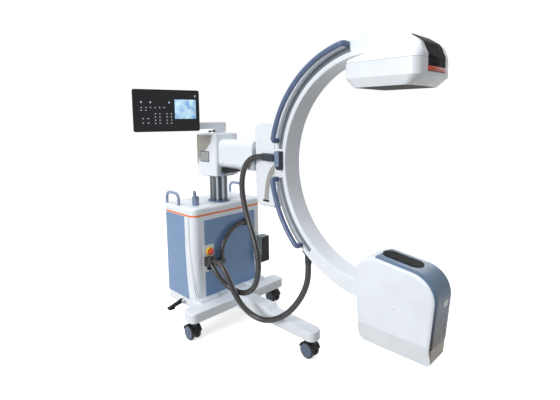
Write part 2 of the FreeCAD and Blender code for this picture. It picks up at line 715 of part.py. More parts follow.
def inner_column():
    body = new_body("inner_column")
    side = "(column_bore - column_play)"
    bore = "(column_bore - column_play - mast_wall)"
    prism(body, "z", box_points("-" + side, side, "-" + side, side), "mast_bottom", MAST_TOP)
    prism(body, "z", box_points("-" + bore, bore, "-" + bore, bore), "mast_bottom", MAST_TOP,
          cut=True)
    prism(body, "z", box_points("-plate_length / 2", "plate_length / 2", "-plate_width / 2",
                                "plate_width / 2"), MAST_TOP, PLATE_TOP)
    discs(body, "z", [("0", "0")], "pivot_radius", PLATE_TOP, PLATE_TOP + " + pivot_length")
    ram_low = ("spine_top + column_floor + ram_tube_length - lift_travel - ram_overlap")
    discs(body, "z", [("0", "0")], "ram_radius", ram_low, MAST_TOP)
    keep("inner_column", body)


def column_flange():
    body = new_body("column_flange")
    across = "flange_length / 2"
    deep = "flange_width / 2"
    short_x = "flange_length / 3"
    short_y = "flange_width / 4"
    outline = [("-" + across, "-" + short_y), ("-" + short_x, "-" + deep),
               (short_x, "-" + deep), (across, "-" + short_y), (across, short_y),
               (short_x, deep), ("-" + short_x, deep), ("-" + across, short_y)]
    prism(body, "z", outline, COVER_TOP, COVER_TOP + " + flange_thick")
    dress(body, "Fillet", "flange_thick", along("z"))
    column_hole(body, COVER_TOP, COVER_TOP + " + flange_thick")
    keep("column_flange", body)


def generator_unit():
    body = new_body("generator_unit")
    back = "-(cabinet_back - 2 * cabinet_wall)"
    prism(body, "z", box_points(back, back + " + generator_depth", "-generator_half",
                                "generator_half"), "cabinet_bottom",
          "cabinet_bottom + generator_height")
    dress(body, "Fillet", "cabinet_wall", along("z"))
    keep("generator_unit", body)


outer_column()
lift_actuator()
inner_column()
column_flange()
generator_unit()


# Push handles: two bent tubes seated in the top cover
def push_handles():
    roof = at("cabinet_top") + at("stripe_height") + at("top_height")
    foot = roof - at("handle_seat")
    top = roof + at("handle_rise")
    pieces = []
    handle_side = at("cabinet_half") - at("handle_inset")
    for side in (-handle_side, handle_side):
        points = [V(-at("handle_back"), side, foot), V(-at("handle_back"), side, top),
                  V(-at("handle_front"), side, top), V(-at("handle_front"), side, foot)]
        path, _ = bent_path(points, lambda run, half_turn: at("handle_bend"))
        pieces.append(pipe(path, at("handle_tube")))
    made("push_handles", Part.makeCompound(pieces), solids=2)


def switch_holder():
    body = new_body("switch_holder")
    inside = "(cup_radius - cup_wall)"
    turned(body, [("0", "0"), ("cup_radius", "0"), ("cup_radius", "cup_height"),
                  (inside, "cup_height"), (inside, "cup_floor"), ("0", "cup_floor")])
    put(body, "cup_x", "-cup_side", COVER_TOP)
    keep("switch_holder", body)


def hand_switch():
    grip = new_body("hand_switch")
    turned(grip, [("0", "0"), ("grip_radius - cup_wall", "0"), ("grip_radius", "cup_wall"),
                  ("grip_radius", "grip_length - cup_wall"),
                  ("grip_radius - cup_wall", "grip_length"),
                  ("grip_button + turn_gap", "grip_length"),
                  ("grip_button + turn_gap", "grip_length - 2 * grip_button"),
                  ("0", "grip_length - 2 * grip_button")])
    button = new_body("hand_switch_button")
    low = "(grip_length - grip_button_rise + turn_gap)"
    turned(button, [("0", low), ("grip_button", low),
                    ("grip_button", "grip_length + grip_button_rise / 2"),
                    ("grip_button / 2", "grip_length + grip_button_rise"),
                    ("0", "grip_length + grip_button_rise")])
    for piece in (grip, button):
        aim(piece, "y", -at("grip_lean"))
        put(piece, "cup_x + grip_radius / 3", "-cup_side",
            COVER_TOP + " + cup_floor + turn_gap + (grip_radius - cup_wall) * sin(grip_lean)")
        keep(piece.Name, piece)


push_handles()
switch_holder()
hand_switch()


# Foot switch, hung on a bracket on the front
def foot_switch_bracket():
    body = new_body("foot_switch_bracket")
    wall = "(%s + bracket_thick)" % PANEL_FACE
    middle = "(cabinet_half - bracket_inset)"
    left = middle + " - bracket_strip"
    right = middle + " + bracket_width"
    prism(body, "x", box_points(middle, right, "foot_low", "foot_low + foot_height"),
          PANEL_FACE, wall)
    prism(body, "x", box_points(left, middle, "bracket_low", "bracket_high"),
          PANEL_FACE, wall)
    prism(body, "x", box_points(left, right, "bracket_low", "foot_low - turn_gap"),
          PANEL_FACE, wall + " + foot_depth / 2")
    keep("foot_switch_bracket", body)


def foot_switch():
    body = new_body("foot_switch")
    back = "(%s + bracket_thick + turn_gap)" % PANEL_FACE
    front = "(%s + foot_depth)" % back
    left = FOOT_SIDE
    right = "(%s + foot_width)" % FOOT_SIDE
    top = "(foot_low + foot_height)"
    prism(body, "x", box_points(left, right, "foot_low", top), back, front)
    dress(body, "Fillet", "foot_corner", along("x"))
    rim = sum(at(word) for word in ("cabinet_front", "panel_thick", "bracket_thick", "turn_gap",
                                    "foot_depth"))
    dress(body, "Fillet", "foot_corner / 2", level("x", rim))
    play = "(treadle_inset - treadle_play)"
    deep = front + " - treadle_thick - treadle_throw"
    prism(body, "x", box_points(left + " + " + play, right + " - " + play,
                                "foot_low + " + play, top + " - " + play), deep, front, cut=True)
    pin_x = front + " - treadle_thick / 2"
    pin_z = top + " - treadle_inset - treadle_thick / 2"
    discs(body, "y", [(pin_x, pin_z)], "treadle_pin + treadle_pin_play",
          left + " + treadle_inset / 3", right + " - treadle_inset / 3", cut=True)
    keep("foot_switch", body)


def foot_switch_pedal():
    body = new_body("foot_switch_pedal")
    front = "(%s + bracket_thick + turn_gap + foot_depth)" % PANEL_FACE
    left = FOOT_SIDE + " + treadle_inset"
    right = "(%s + foot_width - treadle_inset)" % FOOT_SIDE
    top = "(foot_low + foot_height - treadle_inset)"
    prism(body, "x", box_points(left, right, "foot_low + treadle_inset", top),
          front + " - treadle_thick", front)
    dress(body, "Fillet", "treadle_thick / 2 - turn_gap", along("y"))
    discs(body, "y", [(front + " - treadle_thick / 2", top + " - treadle_thick / 2")],
          "treadle_pin", FOOT_SIDE + " + treadle_inset / 2",
          FOOT_SIDE + " + foot_width - treadle_inset / 2")
    keep("foot_switch_pedal", body)


foot_switch_bracket()
foot_switch()
foot_switch_pedal()


# Brake pedal on its pin at the near side
def brake_pedal():
    body = new_body("brake_pedal")
    hub_y = "-(cabinet_half + brake_out)"
    tip_y = "-(cabinet_half + brake_out + brake_length)"
    tip_z = "(brake_height - brake_drop)"
    left = "-brake_x - brake_half"
    right = "-brake_x + brake_half"
    discs(body, "x", [(hub_y, "brake_height")], "brake_hub", left, right)
    lever = [(hub_y, "brake_height - brake_hub"), (tip_y, tip_z + " - brake_thick / 2"),
             (tip_y, tip_z + " + brake_thick / 2"), (hub_y, "brake_height + brake_hub")]
    prism(body, "x", lever, left, right)
    foot = box_points("-brake_x - brake_foot", "-brake_x + brake_foot", tip_y,
                      tip_y + " + 2 * brake_foot")
    prism(body, "z", foot, tip_z + " - brake_thick / 2", tip_z + " + brake_thick / 2")
    tip = -(at("cabinet_half") + at("brake_out") + at("brake_length"))
    sides = either(level("x", -at("brake_x") - at("brake_foot")),
                   level("x", -at("brake_x") + at("brake_foot")))
    dress(body, "Fillet", "brake_foot / 3", both(along("z"), level("y", tip), sides))
    discs(body, "x", [(hub_y, "brake_height")], "brake_pin + brake_pin_play", left, right,
          cut=True)
    keep("brake_pedal", body)


brake_pedal()


# Head that swivels on the column, with the channel for the cross arm
def arm_outline(grow):
    half = "(arm_half + %s)" % grow
    return box_points("-" + half, half, "%s - %s" % (ARM_LOW, grow),
                      "%s + arm_height + %s" % (ARM_LOW, grow))


def head_shell():
    body = new_body("head_shell")
    prism(body, "z", box_points("-head_back", "head_front", "-head_half", "head_half"),
          HEAD_LOW, HEAD_TOP)
    dress(body, "Fillet", "head_corner", along("z"))
    low = at("column_top") + at("mast_rise") + at("plate_thick") + at("fit_gap")
    dress(body, "Fillet", "head_corner / 2", level("z", low + at("head_height")))
    channel = "-(head_back - head_wall - arm_play * 2)"
    prism(body, "x", arm_outline("arm_play"), channel, "head_front", cut=True)

    def channel_edge(edge):
        return along("x")(edge) and abs(edge.BoundBox.YMax) < at("arm_half") + 1
    dress(body, "Fillet", "arm_corner + arm_play", channel_edge)
    discs(body, "z", [("0", "0")], "pivot_radius + pivot_play", HEAD_LOW,
          HEAD_LOW + " + pivot_length + fit_gap", cut=True)
    discs(body, "z", [("-bracket_x", "bracket_y")], "swivel_pin + swivel_pin_play",
          HEAD_TOP + " - swivel_pin_length - fit_gap", HEAD_TOP, cut=True)
    back = "-(head_back - scoop_back)"
    front = "(head_front - scoop_front)"
    slope = [(back, HEAD_LOW + " + scoop_low"), ("-scoop_bend_x", HEAD_LOW + " + scoop_bend"),
             (front, HEAD_TOP + " - scoop_fall"), (front, HEAD_TOP + " - scoop_top"),
             (back, HEAD_TOP + " - scoop_top")]
    for start, end in (("-head_half", "-(head_half - scoop_depth)"),
                       ("head_half - scoop_depth", "head_half")):
        prism(body, "y", slope, start, end, cut=True)
    keep("head_shell", body)


def arm_lock_lever():
    base = new_body("lever_base")
    pin_x = "(head_front + lever_out)"
    under = "(%s - lever_drop)" % ARM_LOW
    low = "(%s - lever_drop - lever_tall)" % ARM_LOW
    side = box_points("head_front", "head_front + 2 * lever_out", "-lever_side - lever_hub",
                      "-lever_side + lever_hub")
    prism(base, "z", side, low, low + " + lever_base_tall")
    base_end = at("head_front") + 2 * at("lever_out")
    dress(base, "Fillet", "lever_out / 2", both(along("z"), level("x", base_end)))
    discs(base, "z", [(pin_x, "-lever_side")], "lever_pin", low + " + lever_base_tall", under)
    keep("lever_base", base)
    lever = new_body("arm_lock_lever")
    bottom = low + " + lever_base_tall + turn_gap"
    tip_x = "(head_front + lever_out + lever_length)"
    profile = [(pin_x, bottom), (pin_x + " + lever_length / 3", bottom),
               (tip_x, under + " - lever_tip"), (tip_x, under), (pin_x, under)]
    prism(lever, "y", profile, "-lever_side - lever_hub", "-lever_side + lever_hub")
    tip = at("head_front") + at("lever_out") + at("lever_length")
    dress(lever, "Fillet", "lever_tip", both(along("z"), level("x", tip)))
    discs(lever, "z", [(pin_x, "-lever_side")], "lever_hub", bottom, under)
    discs(lever, "z", [(pin_x, "-lever_side")], "lever_pin + lever_pin_play", bottom, under,
          cut=True)
    keep("arm_lock_lever", lever)


def arm_housing():
    body = new_body("arm_housing")
    prism(body, "x", arm_outline("0"), "-arm_back", "arm_front")
    prism(body, "x", arm_outline("-arm_wall"), "-arm_back", "arm_front - arm_end", cut=True)
    outside = at("arm_half")
    dress(body, "Fillet", "arm_corner - arm_wall", corners_at(outside - at("arm_wall"), "x"))
    dress(body, "Fillet", "arm_corner", corners_at(outside, "x"))
    discs(body, "x", [("0", ARM_AXIS)], "shaft_radius + shaft_play",
          "arm_front - arm_end", "arm_front", cut=True)
    keep("arm_housing", body)


head_shell()
arm_lock_lever()
arm_housing()


# Carriage that turns on the end of the arm and guides the C
def arm_shaft():
    body = new_body("arm_shaft")
    inside = "-(hub_gap + arm_end + hub_gap)"
    turned(body, [("0", inside + " - collar_thick"), ("collar_radius", inside + " - collar_thick"),
                  ("collar_radius", inside), ("shaft_radius", inside), ("shaft_radius", "0"),
                  ("hub_radius", "0"), ("hub_radius", "hub_thick"), ("0", "hub_thick")])
    aim(body, "y", 90)
    put(body, HUB_BACK, "0", ARM_AXIS)
    keep("arm_shaft", body)


def carriage_shell():
    """Side outline about the centre of the C, hollowed in front to follow the C."""
    body = new_body("carriage_shell")
    back = "-(c_outer + carriage_depth)"
    front = "-(c_outer - track_gap * 3)"
    outline = [(back, "-carriage_down"), (back + " + carriage_round + 2 * carriage_cut",
                                          "-carriage_down"),
               (front, "-carriage_down + carriage_cut"), (front, "carriage_up"),
               (back, "carriage_up")]
    prism(body, "y", outline, "-carriage_half", "carriage_half")
    rear = -(at("c_outer") + at("carriage_depth"))
    dress(body, "Fillet", "carriage_round", both(along("y"), level("x", rear)))

    def outer_rim(edge):
        box = edge.BoundBox
        return box.YLength < 0.01 and box.XMax < -at("c_outer") + 2
    dress(body, "Fillet", "carriage_side_round", outer_rim)
    discs(body, "y", [("0", "0")], "c_outer + track_gap", "-carriage_half", "carriage_half",
          cut=True)
    inside = "(c_outer - track_depth + 2 * track_gap)"
    outside = "(c_outer + 4 * track_gap)"
    far = "(cheek_inside + cheek_thick)"
    for low, high in (("cheek_inside", far), ("-" + far, "-cheek_inside")):
        swept_round(body, box_points(inside, outside, low, high), "180 - cheek_angle",
                    "180 + cheek_angle")
    for angle in ROLLER_ANGLES:
        discs(body, "y", [roller_place(angle)], "roller_pin + roller_pin_play",
              "-carriage_half", "carriage_half", cut=True)
    put(body, CENTRE_X, "0", CENTRE_Z)
    keep("carriage_shell", body)


ROLLER_ANGLES = ("180 - roller_far", "180 - roller_near", "180 + roller_near",
                 "180 + roller_far")


def roller_place(angle):
    run = "(c_outer - track_depth + roller_play + roller_radius)"
    return ("%s * cos(%s)" % (run, angle), "%s * sin(%s)" % (run, angle))


def carriage_rollers():
    rollers = []
    for number, angle in enumerate(ROLLER_ANGLES, start=1):
        roller = new_body("track_roller_%d" % number)
        end = "(cheek_inside + cheek_thick)"
        turned(roller, [("0", "-" + end), ("roller_pin", "-" + end),
                        ("roller_pin", "-roller_half"), ("roller_radius", "-roller_half"),
                        ("roller_radius", "roller_half"), ("roller_pin", "roller_half"),
                        ("roller_pin", end), ("0", end)])
        aim(roller, "x", 90)
        x, z = roller_place(angle)
        put(roller, "%s + %s" % (CENTRE_X, x), "0", "%s + %s" % (CENTRE_Z, z))
        rollers.append(roller)
    group = doc.addObject("Part::Compound", "carriage_rollers")
    group.Links = rollers
    keep("carriage_rollers", group)


arm_shaft()
carriage_shell()
carriage_rollers()


# The C: a swept box section with a roller track outside and a recess along each side
def c_profile():
    body = new_body("c_profile")
    swept_round(body, box_points("c_inner", "c_outer", "-c_half", "c_half"), "c_top", "c_end")

    def long_edge(edge):
        return edge.BoundBox.YLength < 0.01 and edge.BoundBox.ZLength > 500
    dress(body, "Fillet", "c_round", long_edge)
    swept_round(body, box_points("c_outer - track_depth", "c_outer + c_round", "-track_half",
                                 "track_half"), "c_top", "c_end", cut=True)
    stretches = (("recess_top", "recess_middle"), ("recess_under", "recess_end"))
    floor = "(c_half - recess_depth)"
    for start, end in stretches:
        for low, high in (("-c_half", "-" + floor), (floor, "c_half")):
            swept_round(body, box_points("recess_low", "recess_high", low, high), start, end,
                        cut=True)
    put(body, CENTRE_X, "0", CENTRE_Z)
    keep("c_profile", body)


c_profile()
doc.recompute()
CENTRE = V(nodes["c_profile"].Placement.Base)


def on_circle(radius, angle, side, centre=CENTRE):
    turn = math.radians(angle)
    return centre + V(radius * math.cos(turn), side, radius * math.sin(turn))


def ring_sector(low, high, half, start, end, centre=CENTRE):
    """A box section swept about the centre of the C between two angles."""
    corners = [on_circle(low, start, -half, centre), on_circle(high, start, -half, centre),
               on_circle(high, start, half, centre), on_circle(low, start, half, centre)]
    section = Part.Face(Part.makePolygon(corners + corners[:1]))
    return section.revolve(centre, V(0, -1, 0), end - start)


def grab_handle(start, end):
    """A tube bent along the C, with a post to its side at each end."""
    side = -at("grab_side")
    foot = -at("c_half")
    middle = (start + end) / 2
    radius = at("grab_radius")
    bend = 1.2 * at("grab_tube")
    inset = math.degrees(bend / radius)
    arc = Part.Arc(on_circle(radius, start + inset, side), on_circle(radius, middle, side),
                   on_circle(radius, end - inset, side))
    edges = []
    for angle, inward in ((start, 1), (end, -1)):
        near = on_circle(radius, angle, side + bend)
        leave = on_circle(radius, angle + inward * inset, side)
        knee = on_circle(radius, angle + inward * inset * at("grab_knee_ratio"),
                         side + bend * at("grab_knee_ratio"))
        post = Part.LineSegment(on_circle(radius, angle, foot), near).toShape()
        turn = Part.Arc(near, knee, leave).toShape()
        edges.append((post, turn))
    wire = Part.Wire([edges[0][0], edges[0][1], arc.toShape(), edges[1][1], edges[1][0]])
    return pipe(wire, at("grab_tube"))


def grab_handles():
    pieces = [grab_handle(at("grab_top"), at("grab_middle")),
              grab_handle(at("grab_under"), at("grab_end"))]
    made("grab_handles", Part.makeCompound(pieces), solids=2)


grab_handles()


# Cable entries on the side and on the outside of the C
def cable_plate():
    body = new_body("cable_plate")
    back = "-(c_outer - plate_back)"
    under = "-(c_half + block_deep)"
    prism(body, "y", box_points(back, back + " + plate_across", "plate_low",
                                "plate_low + plate_tall"), under + " - plate_deep", under)
    dress(body, "Fillet", "c_round", along("y"))
    put(body, CENTRE_X, "0", CENTRE_Z)
    keep("cable_plate", body)


def cable_block():
    body = new_body("cable_block")
    back = "-(c_outer - plate_back)"
    front = back + " + plate_across"
    top = "block_low + block_tall"
    outline = [(back, "block_low + block_bevel"), (back + " + block_bevel", "block_low"),
               (front, "block_low"), (front, top), (back, top)]
    prism(body, "y", outline, "-(c_half + block_deep)", "-c_half")
    dress(body, "Fillet", "c_round / 2", along("y"))
    return put(body, CENTRE_X, "0", CENTRE_Z)


def cable_boots():
    """Strain reliefs: one along the arm and one hanging under the outside of the C."""
    upper = CENTRE + V(-(at("c_outer") - at("plate_back")), -at("boot_side"), at("boot_rise"))
    start = upper - V(at("boot_length"), 0, 0)
    sleeve = Part.makeCylinder(at("boot_radius"), at("boot_length"), start, V(1, 0, 0))
    radius = at("foot_boot_radius")
    seat = on_circle(at("c_outer"), at("foot_boot_angle"), -at("foot_boot_side"))
    low = seat - V(0, 0, at("foot_boot_length"))
    rise = 3 * radius
    column = Part.makeCone(at("hose_radius") + 2, radius, at("foot_boot_length") + rise, low)
    ring = ring_sector(at("c_inner"), at("c_outer"), 2 * at("c_half"),
                       at("foot_boot_angle") - 20, at("foot_boot_angle") + 20)
    column = column.cut(ring)
    lower = min(column.Solids, key=lambda solid: solid.CenterOfMass.z)
    width = math.degrees(1.4 * radius / at("c_outer"))
    pad = ring_sector(at("c_outer"), at("c_outer") + at("track_gap"), at("c_half"),
                      at("foot_boot_angle") - width, at("foot_boot_angle") + width)
    sleeves = doc.addObject("Part::Feature", "boot_sleeves")
    sleeves.Shape = Part.makeCompound([sleeve, lower.fuse(pad)])
    group = doc.addObject("Part::Compound", "cable_boots")
    group.Links = [cable_block(), sleeves]
    keep("cable_boots", group)
    return start, low


cable_plate()
BOOT_ARM, BOOT_FOOT = cable_boots()


# Detector: a bevelled housing, a crown that swallows the end of the C, a strap and a window,
# all drawn about the centre of the C
HUB = V()
FOOT = at("detector_rise")
SEAM = at("detector_rise") + at("bevel_rise") + at("wall_rise")
CROWN = SEAM + at("crown_rise")


def nose_outline(back, front, nose, half, lift, corner):
    return rounded([(V(back, -half, lift), corner), (V(front, -half, lift), corner),
                    (V(nose, 0, lift), at("nose_round")), (V(front, half, lift), corner),
                    (V(back, half, lift), corner)])


def seam_outline(half, lift, grow=0):
    return nose_outline(at("seam_back") - grow, at("seam_front") + grow,
                        at("seam_nose") + grow, half + grow, lift, at("detector_corner"))


def low_outline(grow=0):
    return nose_outline(at("detector_back") - grow, at("detector_front") + grow,
                        at("detector_nose") + grow, at("detector_half") + grow,
                        FOOT, at("low_corner"))


def housing_form(grow=0):
    """A straight-walled box whose foot is bevelled in to the window."""
    walls = [seam_outline(at("seam_half"), lift, grow) for lift in (FOOT + at("bevel_rise"), SEAM)]
    return Part.makeLoft([low_outline(grow)] + walls, True, True)


def crown_form(grow=0):
    """A loft narrowing upwards, trimmed by the crown's side outline."""
    body = Part.makeLoft([seam_outline(at("seam_half"), SEAM, grow),
                          seam_outline(at("crown_half"), CROWN + 2 * grow, grow)], True, True)
    back = at("seam_back") - grow - 1
    front = at("seam_nose") + grow + 1
    side = -2 * at("seam_half")
    soft = at("crown_round")
    sharp = at("crown_sharp")
    top = CROWN + grow
    corners = [(V(back, side, SEAM - 1), sharp),
               (V(back, side, SEAM + at("crown_foot") + grow), sharp),
               (V(at("crown_slope_x") - grow / 2, side, top - at("crown_slope_drop")), soft),
               (V(at("crown_ridge_x"), side, top), soft / 2),
               (V(at("crown_brow_x") + grow / 2, side, top - at("crown_brow_drop")), soft / 2),
               (V(at("crown_cheek_x") + grow, side, top - at("crown_cheek_drop")), soft),
               (V(front, side, SEAM - 1), sharp)]
    profile = slab(rounded(corners), V(0, -2 * side, 0))
    return body.common(profile)


def detector():
    housing = housing_form()
    seat = low_outline(-at("window_inset"))
    window = slab(seat, V(0, 0, at("window_thick")))
    made("detector_housing", housing.cut(window), place=CENTRE)
    made("detector_window", window, place=CENTRE)
    slot = ring_sector(at("c_inner"), at("c_outer"), at("c_half"), at("c_top"),
                       at("c_top") + at("sleeve_reach"), HUB)
    crown = crown_form().cut(slot)
    made("detector_cover", max(crown.Solids, key=lambda solid: solid.Volume), place=CENTRE)
    thick = at("strap_thick")
    beyond = at("crown_round")
    band = block(V(at("strap_back"), -at("strap_half"), FOOT + at("strap_rise")),
                 V(at("seam_nose") + beyond, at("strap_half"), CROWN + beyond))
    skin = housing_form(thick).fuse(crown_form(thick)).common(band)
    strap = skin.cut(housing_form()).cut(crown_form())
    made("detector_strap", max(strap.Solids, key=lambda solid: solid.Volume), place=CENTRE)


detector()


# X-ray tube housing below, with its band, lid and the parts inside, drawn in the same way
def tube_outline(grow=0):
    """Side outline: broad rounded shoulders, a narrower foot."""
    low = at("tube_low") - grow
    corners = [(at("tube_left_low") - grow, low, at("tube_round_low")),
               (at("tube_right_low") + grow, low, at("tube_round_heel")),
               (at("tube_right") + grow, at("tube_top_right") + grow, at("tube_round_right")),
               (at("tube_left") - grow, at("tube_top_left") + grow, at("tube_round_left"))]
    return rounded([(V(x, 0, z), radius + grow) for x, z, radius in corners])


def tube_form(grow, half):
    outline = tube_outline(grow)
    outline.translate(V(0, -half, 0))
    return slab(outline, V(0, 2 * half, 0))


def domed_form(grow):
    """The housing's form with both rims rounded over."""
    half = at("tube_half") + grow
    form = tube_form(grow, half)
    rims = [edge for edge in form.Edges if edge.BoundBox.YLength < 0.01]
    return form.makeFillet(at("tube_rim") + grow, rims)


def flank_wedge(side):
    """What the taper below the ridge takes away on one flank."""
    wide = at("tube_half")
    narrow = at("tube_half_low")
    far = 2 * wide
    ridge = at("tube_ridge")
    low = at("tube_low")
    left = at("tube_left") - wide
    corners = [V(left, side * wide, ridge), V(left, side * narrow, low),
               V(left, side * narrow, low - wide), V(left, side * far, low - wide),
               V(left, side * far, ridge)]
    face = Part.Face(Part.makePolygon(corners + corners[:1]))
    return face.extrude(V(at("tube_right") - left + wide, 0, 0))


def tube_unit():
    half = at("tube_half")
    wall = at("tube_wall")
    shell = domed_form(0).cut(flank_wedge(1)).cut(flank_wedge(-1))
    room = block(V(at("tube_left"), -half, at("tube_ridge")),
                 V(at("tube_right"), half, at("tube_top_left")))
    hollow = domed_form(-wall).common(room)
    slot = ring_sector(at("c_inner"), at("c_outer"), at("c_half"),
                       at("c_end") - at("tube_slot"), at("c_end"), HUB)
    housing = shell.cut(hollow).cut(slot)
    made("tube_housing", max(housing.Solids, key=lambda solid: solid.Volume), place=CENTRE)

    thick = at("band_thick")
    side = at("band_half")
    limit = block(V(at("band_back"), -side, at("band_low")),
                  V(at("tube_right") + half, side, at("tube_top_left") + half))
    band = domed_form(thick).cut(domed_form(0)).common(limit)
    made("tube_band", band, place=CENTRE)

    slope = (at("tube_top_right") - at("tube_top_left")) / (at("tube_right") - at("tube_left"))
    start = V(at("lid_back"), 0, at("tube_top_left") + slope * (at("lid_back") - at("tube_left")))
    run = V(1, 0, slope).normalize()
    normal = V(-run.z, 0, run.x)
    across = V(0, at("lid_half"), 0)
    base = start + normal * thick / 2
    end = base + run * at("lid_length")
    corner = at("lid_corner")
    lid = slab(rounded([(base - across, corner), (end - across, corner), (end + across, corner),
                        (base + across, corner)]), normal * at("lid_thick"))
    made("tube_lid", lid.cut(band), place=CENTRE)

    inside = half - wall
    source = Part.makeCylinder(at("source_radius"), 2 * inside,
                               V(at("source_x"), -inside, at("source_z")), V(0, 1, 0))
    made("xray_tube", source, place=CENTRE)
    beam_half = at("beam_box_half")
    beam = block(V(at("source_x") - beam_half, -beam_half, at("source_z")),
                 V(at("source_x") + beam_half, beam_half, at("beam_box_top")))
    made("collimator", beam.cut(source), place=CENTRE)


tube_unit()


# Monitor on its bracket, with a swivel on the head and a tilt pin
TILT_Z = "(%s + bracket_bar_low + bracket_bar / 2)" % HEAD_TOP


def monitor_bracket():
    plate = new_body("bracket_plate")
    foot_top = "(%s + turn_gap + bracket_foot_thick)" % HEAD_TOP
    foot_low = "(%s + turn_gap)" % HEAD_TOP
    centre = [("-bracket_x", "bracket_y")]
    discs(plate, "z", centre, "bracket_foot", foot_low, foot_top)
    discs(plate, "z", centre, "swivel_pin", foot_low + " - swivel_pin_length", foot_low)
    low = "(%s + bracket_bar_low)" % HEAD_TOP
    high = low + " + bracket_bar"
    outline = [("bracket_y - bracket_half", foot_low), ("bracket_y + bracket_half", foot_low),
               ("bracket_y + bracket_half", high), ("-monitor_side - bracket_plate", high),
               ("-monitor_side - bracket_plate", low), ("bracket_y - bracket_half", low)]
    prism(plate, "x", outline, "-bracket_x - bracket_plate / 2", "-bracket_x + bracket_plate / 2")
    corners = either(*[level("z", at_height) for at_height in bar_levels()])
    dress(plate, "Fillet", "knuckle_radius", both(along("x"), corners))

    knuckle = new_body("bracket_knuckle")
    discs(knuckle, "y", [("0", "0")], "knuckle_radius", "-knuckle_half", "knuckle_half")
    pin_end = "(knuckle_half + ear_gap + ear_thick)"
    discs(knuckle, "y", [("0", "0")], "tilt_pin", "-" + pin_end, pin_end)
    neck = box_points("-(monitor_x + bracket_x - monitor_thick / 2 - tilt_back)", "0",
                      "-knuckle_radius", "knuckle_radius")
    prism(knuckle, "y", neck, "-knuckle_half", "knuckle_half")
    put_on_tilt_axis(knuckle)
    joined = doc.addObject("Part::Fuse", "monitor_bracket")
    joined.Base = plate
    joined.Tool = knuckle
    keep("monitor_bracket", joined)


def bar_levels():
    top = at("column_top") + at("mast_rise") + at("plate_thick") + at("fit_gap") + at("head_height")
    return (top + at("bracket_bar_low"), top + at("bracket_bar_low") + at("bracket_bar"))


def put_on_tilt_axis(thing):
    """The tilt pin lies behind the middle of the screen, across its width."""
    behind = "(monitor_thick / 2 + tilt_back)"
    aim(thing, "z", -at("monitor_yaw"))
    put(thing, "monitor_x - %s * cos(monitor_yaw)" % behind,
        "-monitor_side + %s * sin(monitor_yaw)" % behind, TILT_Z)


def monitor():
    """Modelled about the tilt pin, so its own X is the screen's normal."""
    casing = new_body("monitor_casing")
    back = "tilt_back"
    front = "(tilt_back + monitor_thick)"
    middle = "monitor_rise"
    half = "monitor_width / 2"
    low = middle + " - monitor_height / 2"
    high = middle + " + monitor_height / 2"
    prism(casing, "x", box_points("-" + half, half, low, high), back, front)
    dress(casing, "Fillet", "monitor_corner", along("x"))
    inset = "glass_inset"
    prism(casing, "x", box_points("-%s + %s" % (half, inset), "%s - %s" % (half, inset),
                                  low + " + " + inset, high + " - " + inset),
          front + " - glass_thick", front, cut=True)
    dress(casing, "Fillet", "glass_inset / 2", level("x", at("tilt_back")))
    inner = "(knuckle_half + ear_gap)"
    outer = "(knuckle_half + ear_gap + ear_thick)"
    for start, end in ((inner, outer), ("-" + outer, "-" + inner)):
        discs(casing, "y", [("0", "0")], "knuckle_radius", start, end)
        prism(casing, "y", box_points("0", back, "-knuckle_radius", "knuckle_radius"), start, end)
        discs(casing, "y", [("0", "0")], "tilt_pin + tilt_pin_play", start, end, cut=True)
    glass = new_body("monitor_glass")
    prism(glass, "x", box_points("-%s + %s" % (half, inset), "%s - %s" % (half, inset),
                                 low + " + " + inset, high + " - " + inset),
          front + " - glass_thick", front)
    for piece in (casing, glass):
        put_on_tilt_axis(piece)
        keep(piece.Name, piece)


monitor_bracket()
monitor()


# Hoses: straight runs joined by arcs as large as the runs allow
def hose(label, points, radius):
    path, radii = bent_path(points, lambda run, half_turn: 0.45 * run / math.tan(half_turn))
    shape = pipe(path, radius)
    expected = math.pi * radius ** 2 * path.Length
    print("%s: length %.0f, arc radii %s, volume over expected %.4f" % (
        label, path.Length, [round(value) for value in radii], shape.Volume / expected))
    made(label, shape)


def hose_glands():
    """The collector that the hoses leave, the loop's outlet beside it and its far gland."""
    collector = new_body("hose_collector")
    low = "(stop_height - exit_drop)"
    high = "(stop_height - exit_top_drop)"
    shoulder = "(stop_height - exit_shoulder_drop)"
    outline = [(SERVICE_FACE, low), ("exit_front - exit_drop + exit_middle_drop", low),
               ("exit_front", "stop_height - exit_middle_drop"), ("exit_front", high),
               ("exit_front - exit_cap", high), ("exit_front - exit_cap - exit_step", shoulder),
               (SERVICE_FACE, shoulder)]
    prism(collector, "y", outline, "-(exit_side + exit_half)", "-(exit_side - exit_half)")
    front = at("cabinet_front") + at("service_thick")
    outer = both(along("y"), lambda edge: edge.BoundBox.XMin > front + 1)
    dress(collector, "Fillet", "foot_corner / 2", outer)
    outlet = new_body("loop_outlet")
    prism(outlet, "y", box_points(SERVICE_FACE, "outlet_front", "stop_height - outlet_drop",
                                  "stop_height - outlet_top_drop"),
          "-(exit_side - exit_half)", "-(outlet_side - outlet_half)")
    dress(outlet, "Fillet", "c_round / 3", level("x", at("outlet_front")))
    gland = new_body("loop_gland")
    reach = PANEL_FACE + " + gland_size"
    prism(gland, "x", box_points("gland_side", "gland_side + gland_size",
                                 "gland_height - gland_size / 2",
                                 "gland_height + gland_size / 2"), PANEL_FACE, reach)
    rim = at("cabinet_front") + at("panel_thick") + at("gland_size")
    dress(gland, "Fillet", "foot_corner / 2", level("x", rim))
    group = doc.addObject("Part::Compound", "hose_glands")
    group.Links = [collector, outlet, gland]
    keep("hose_glands", group)


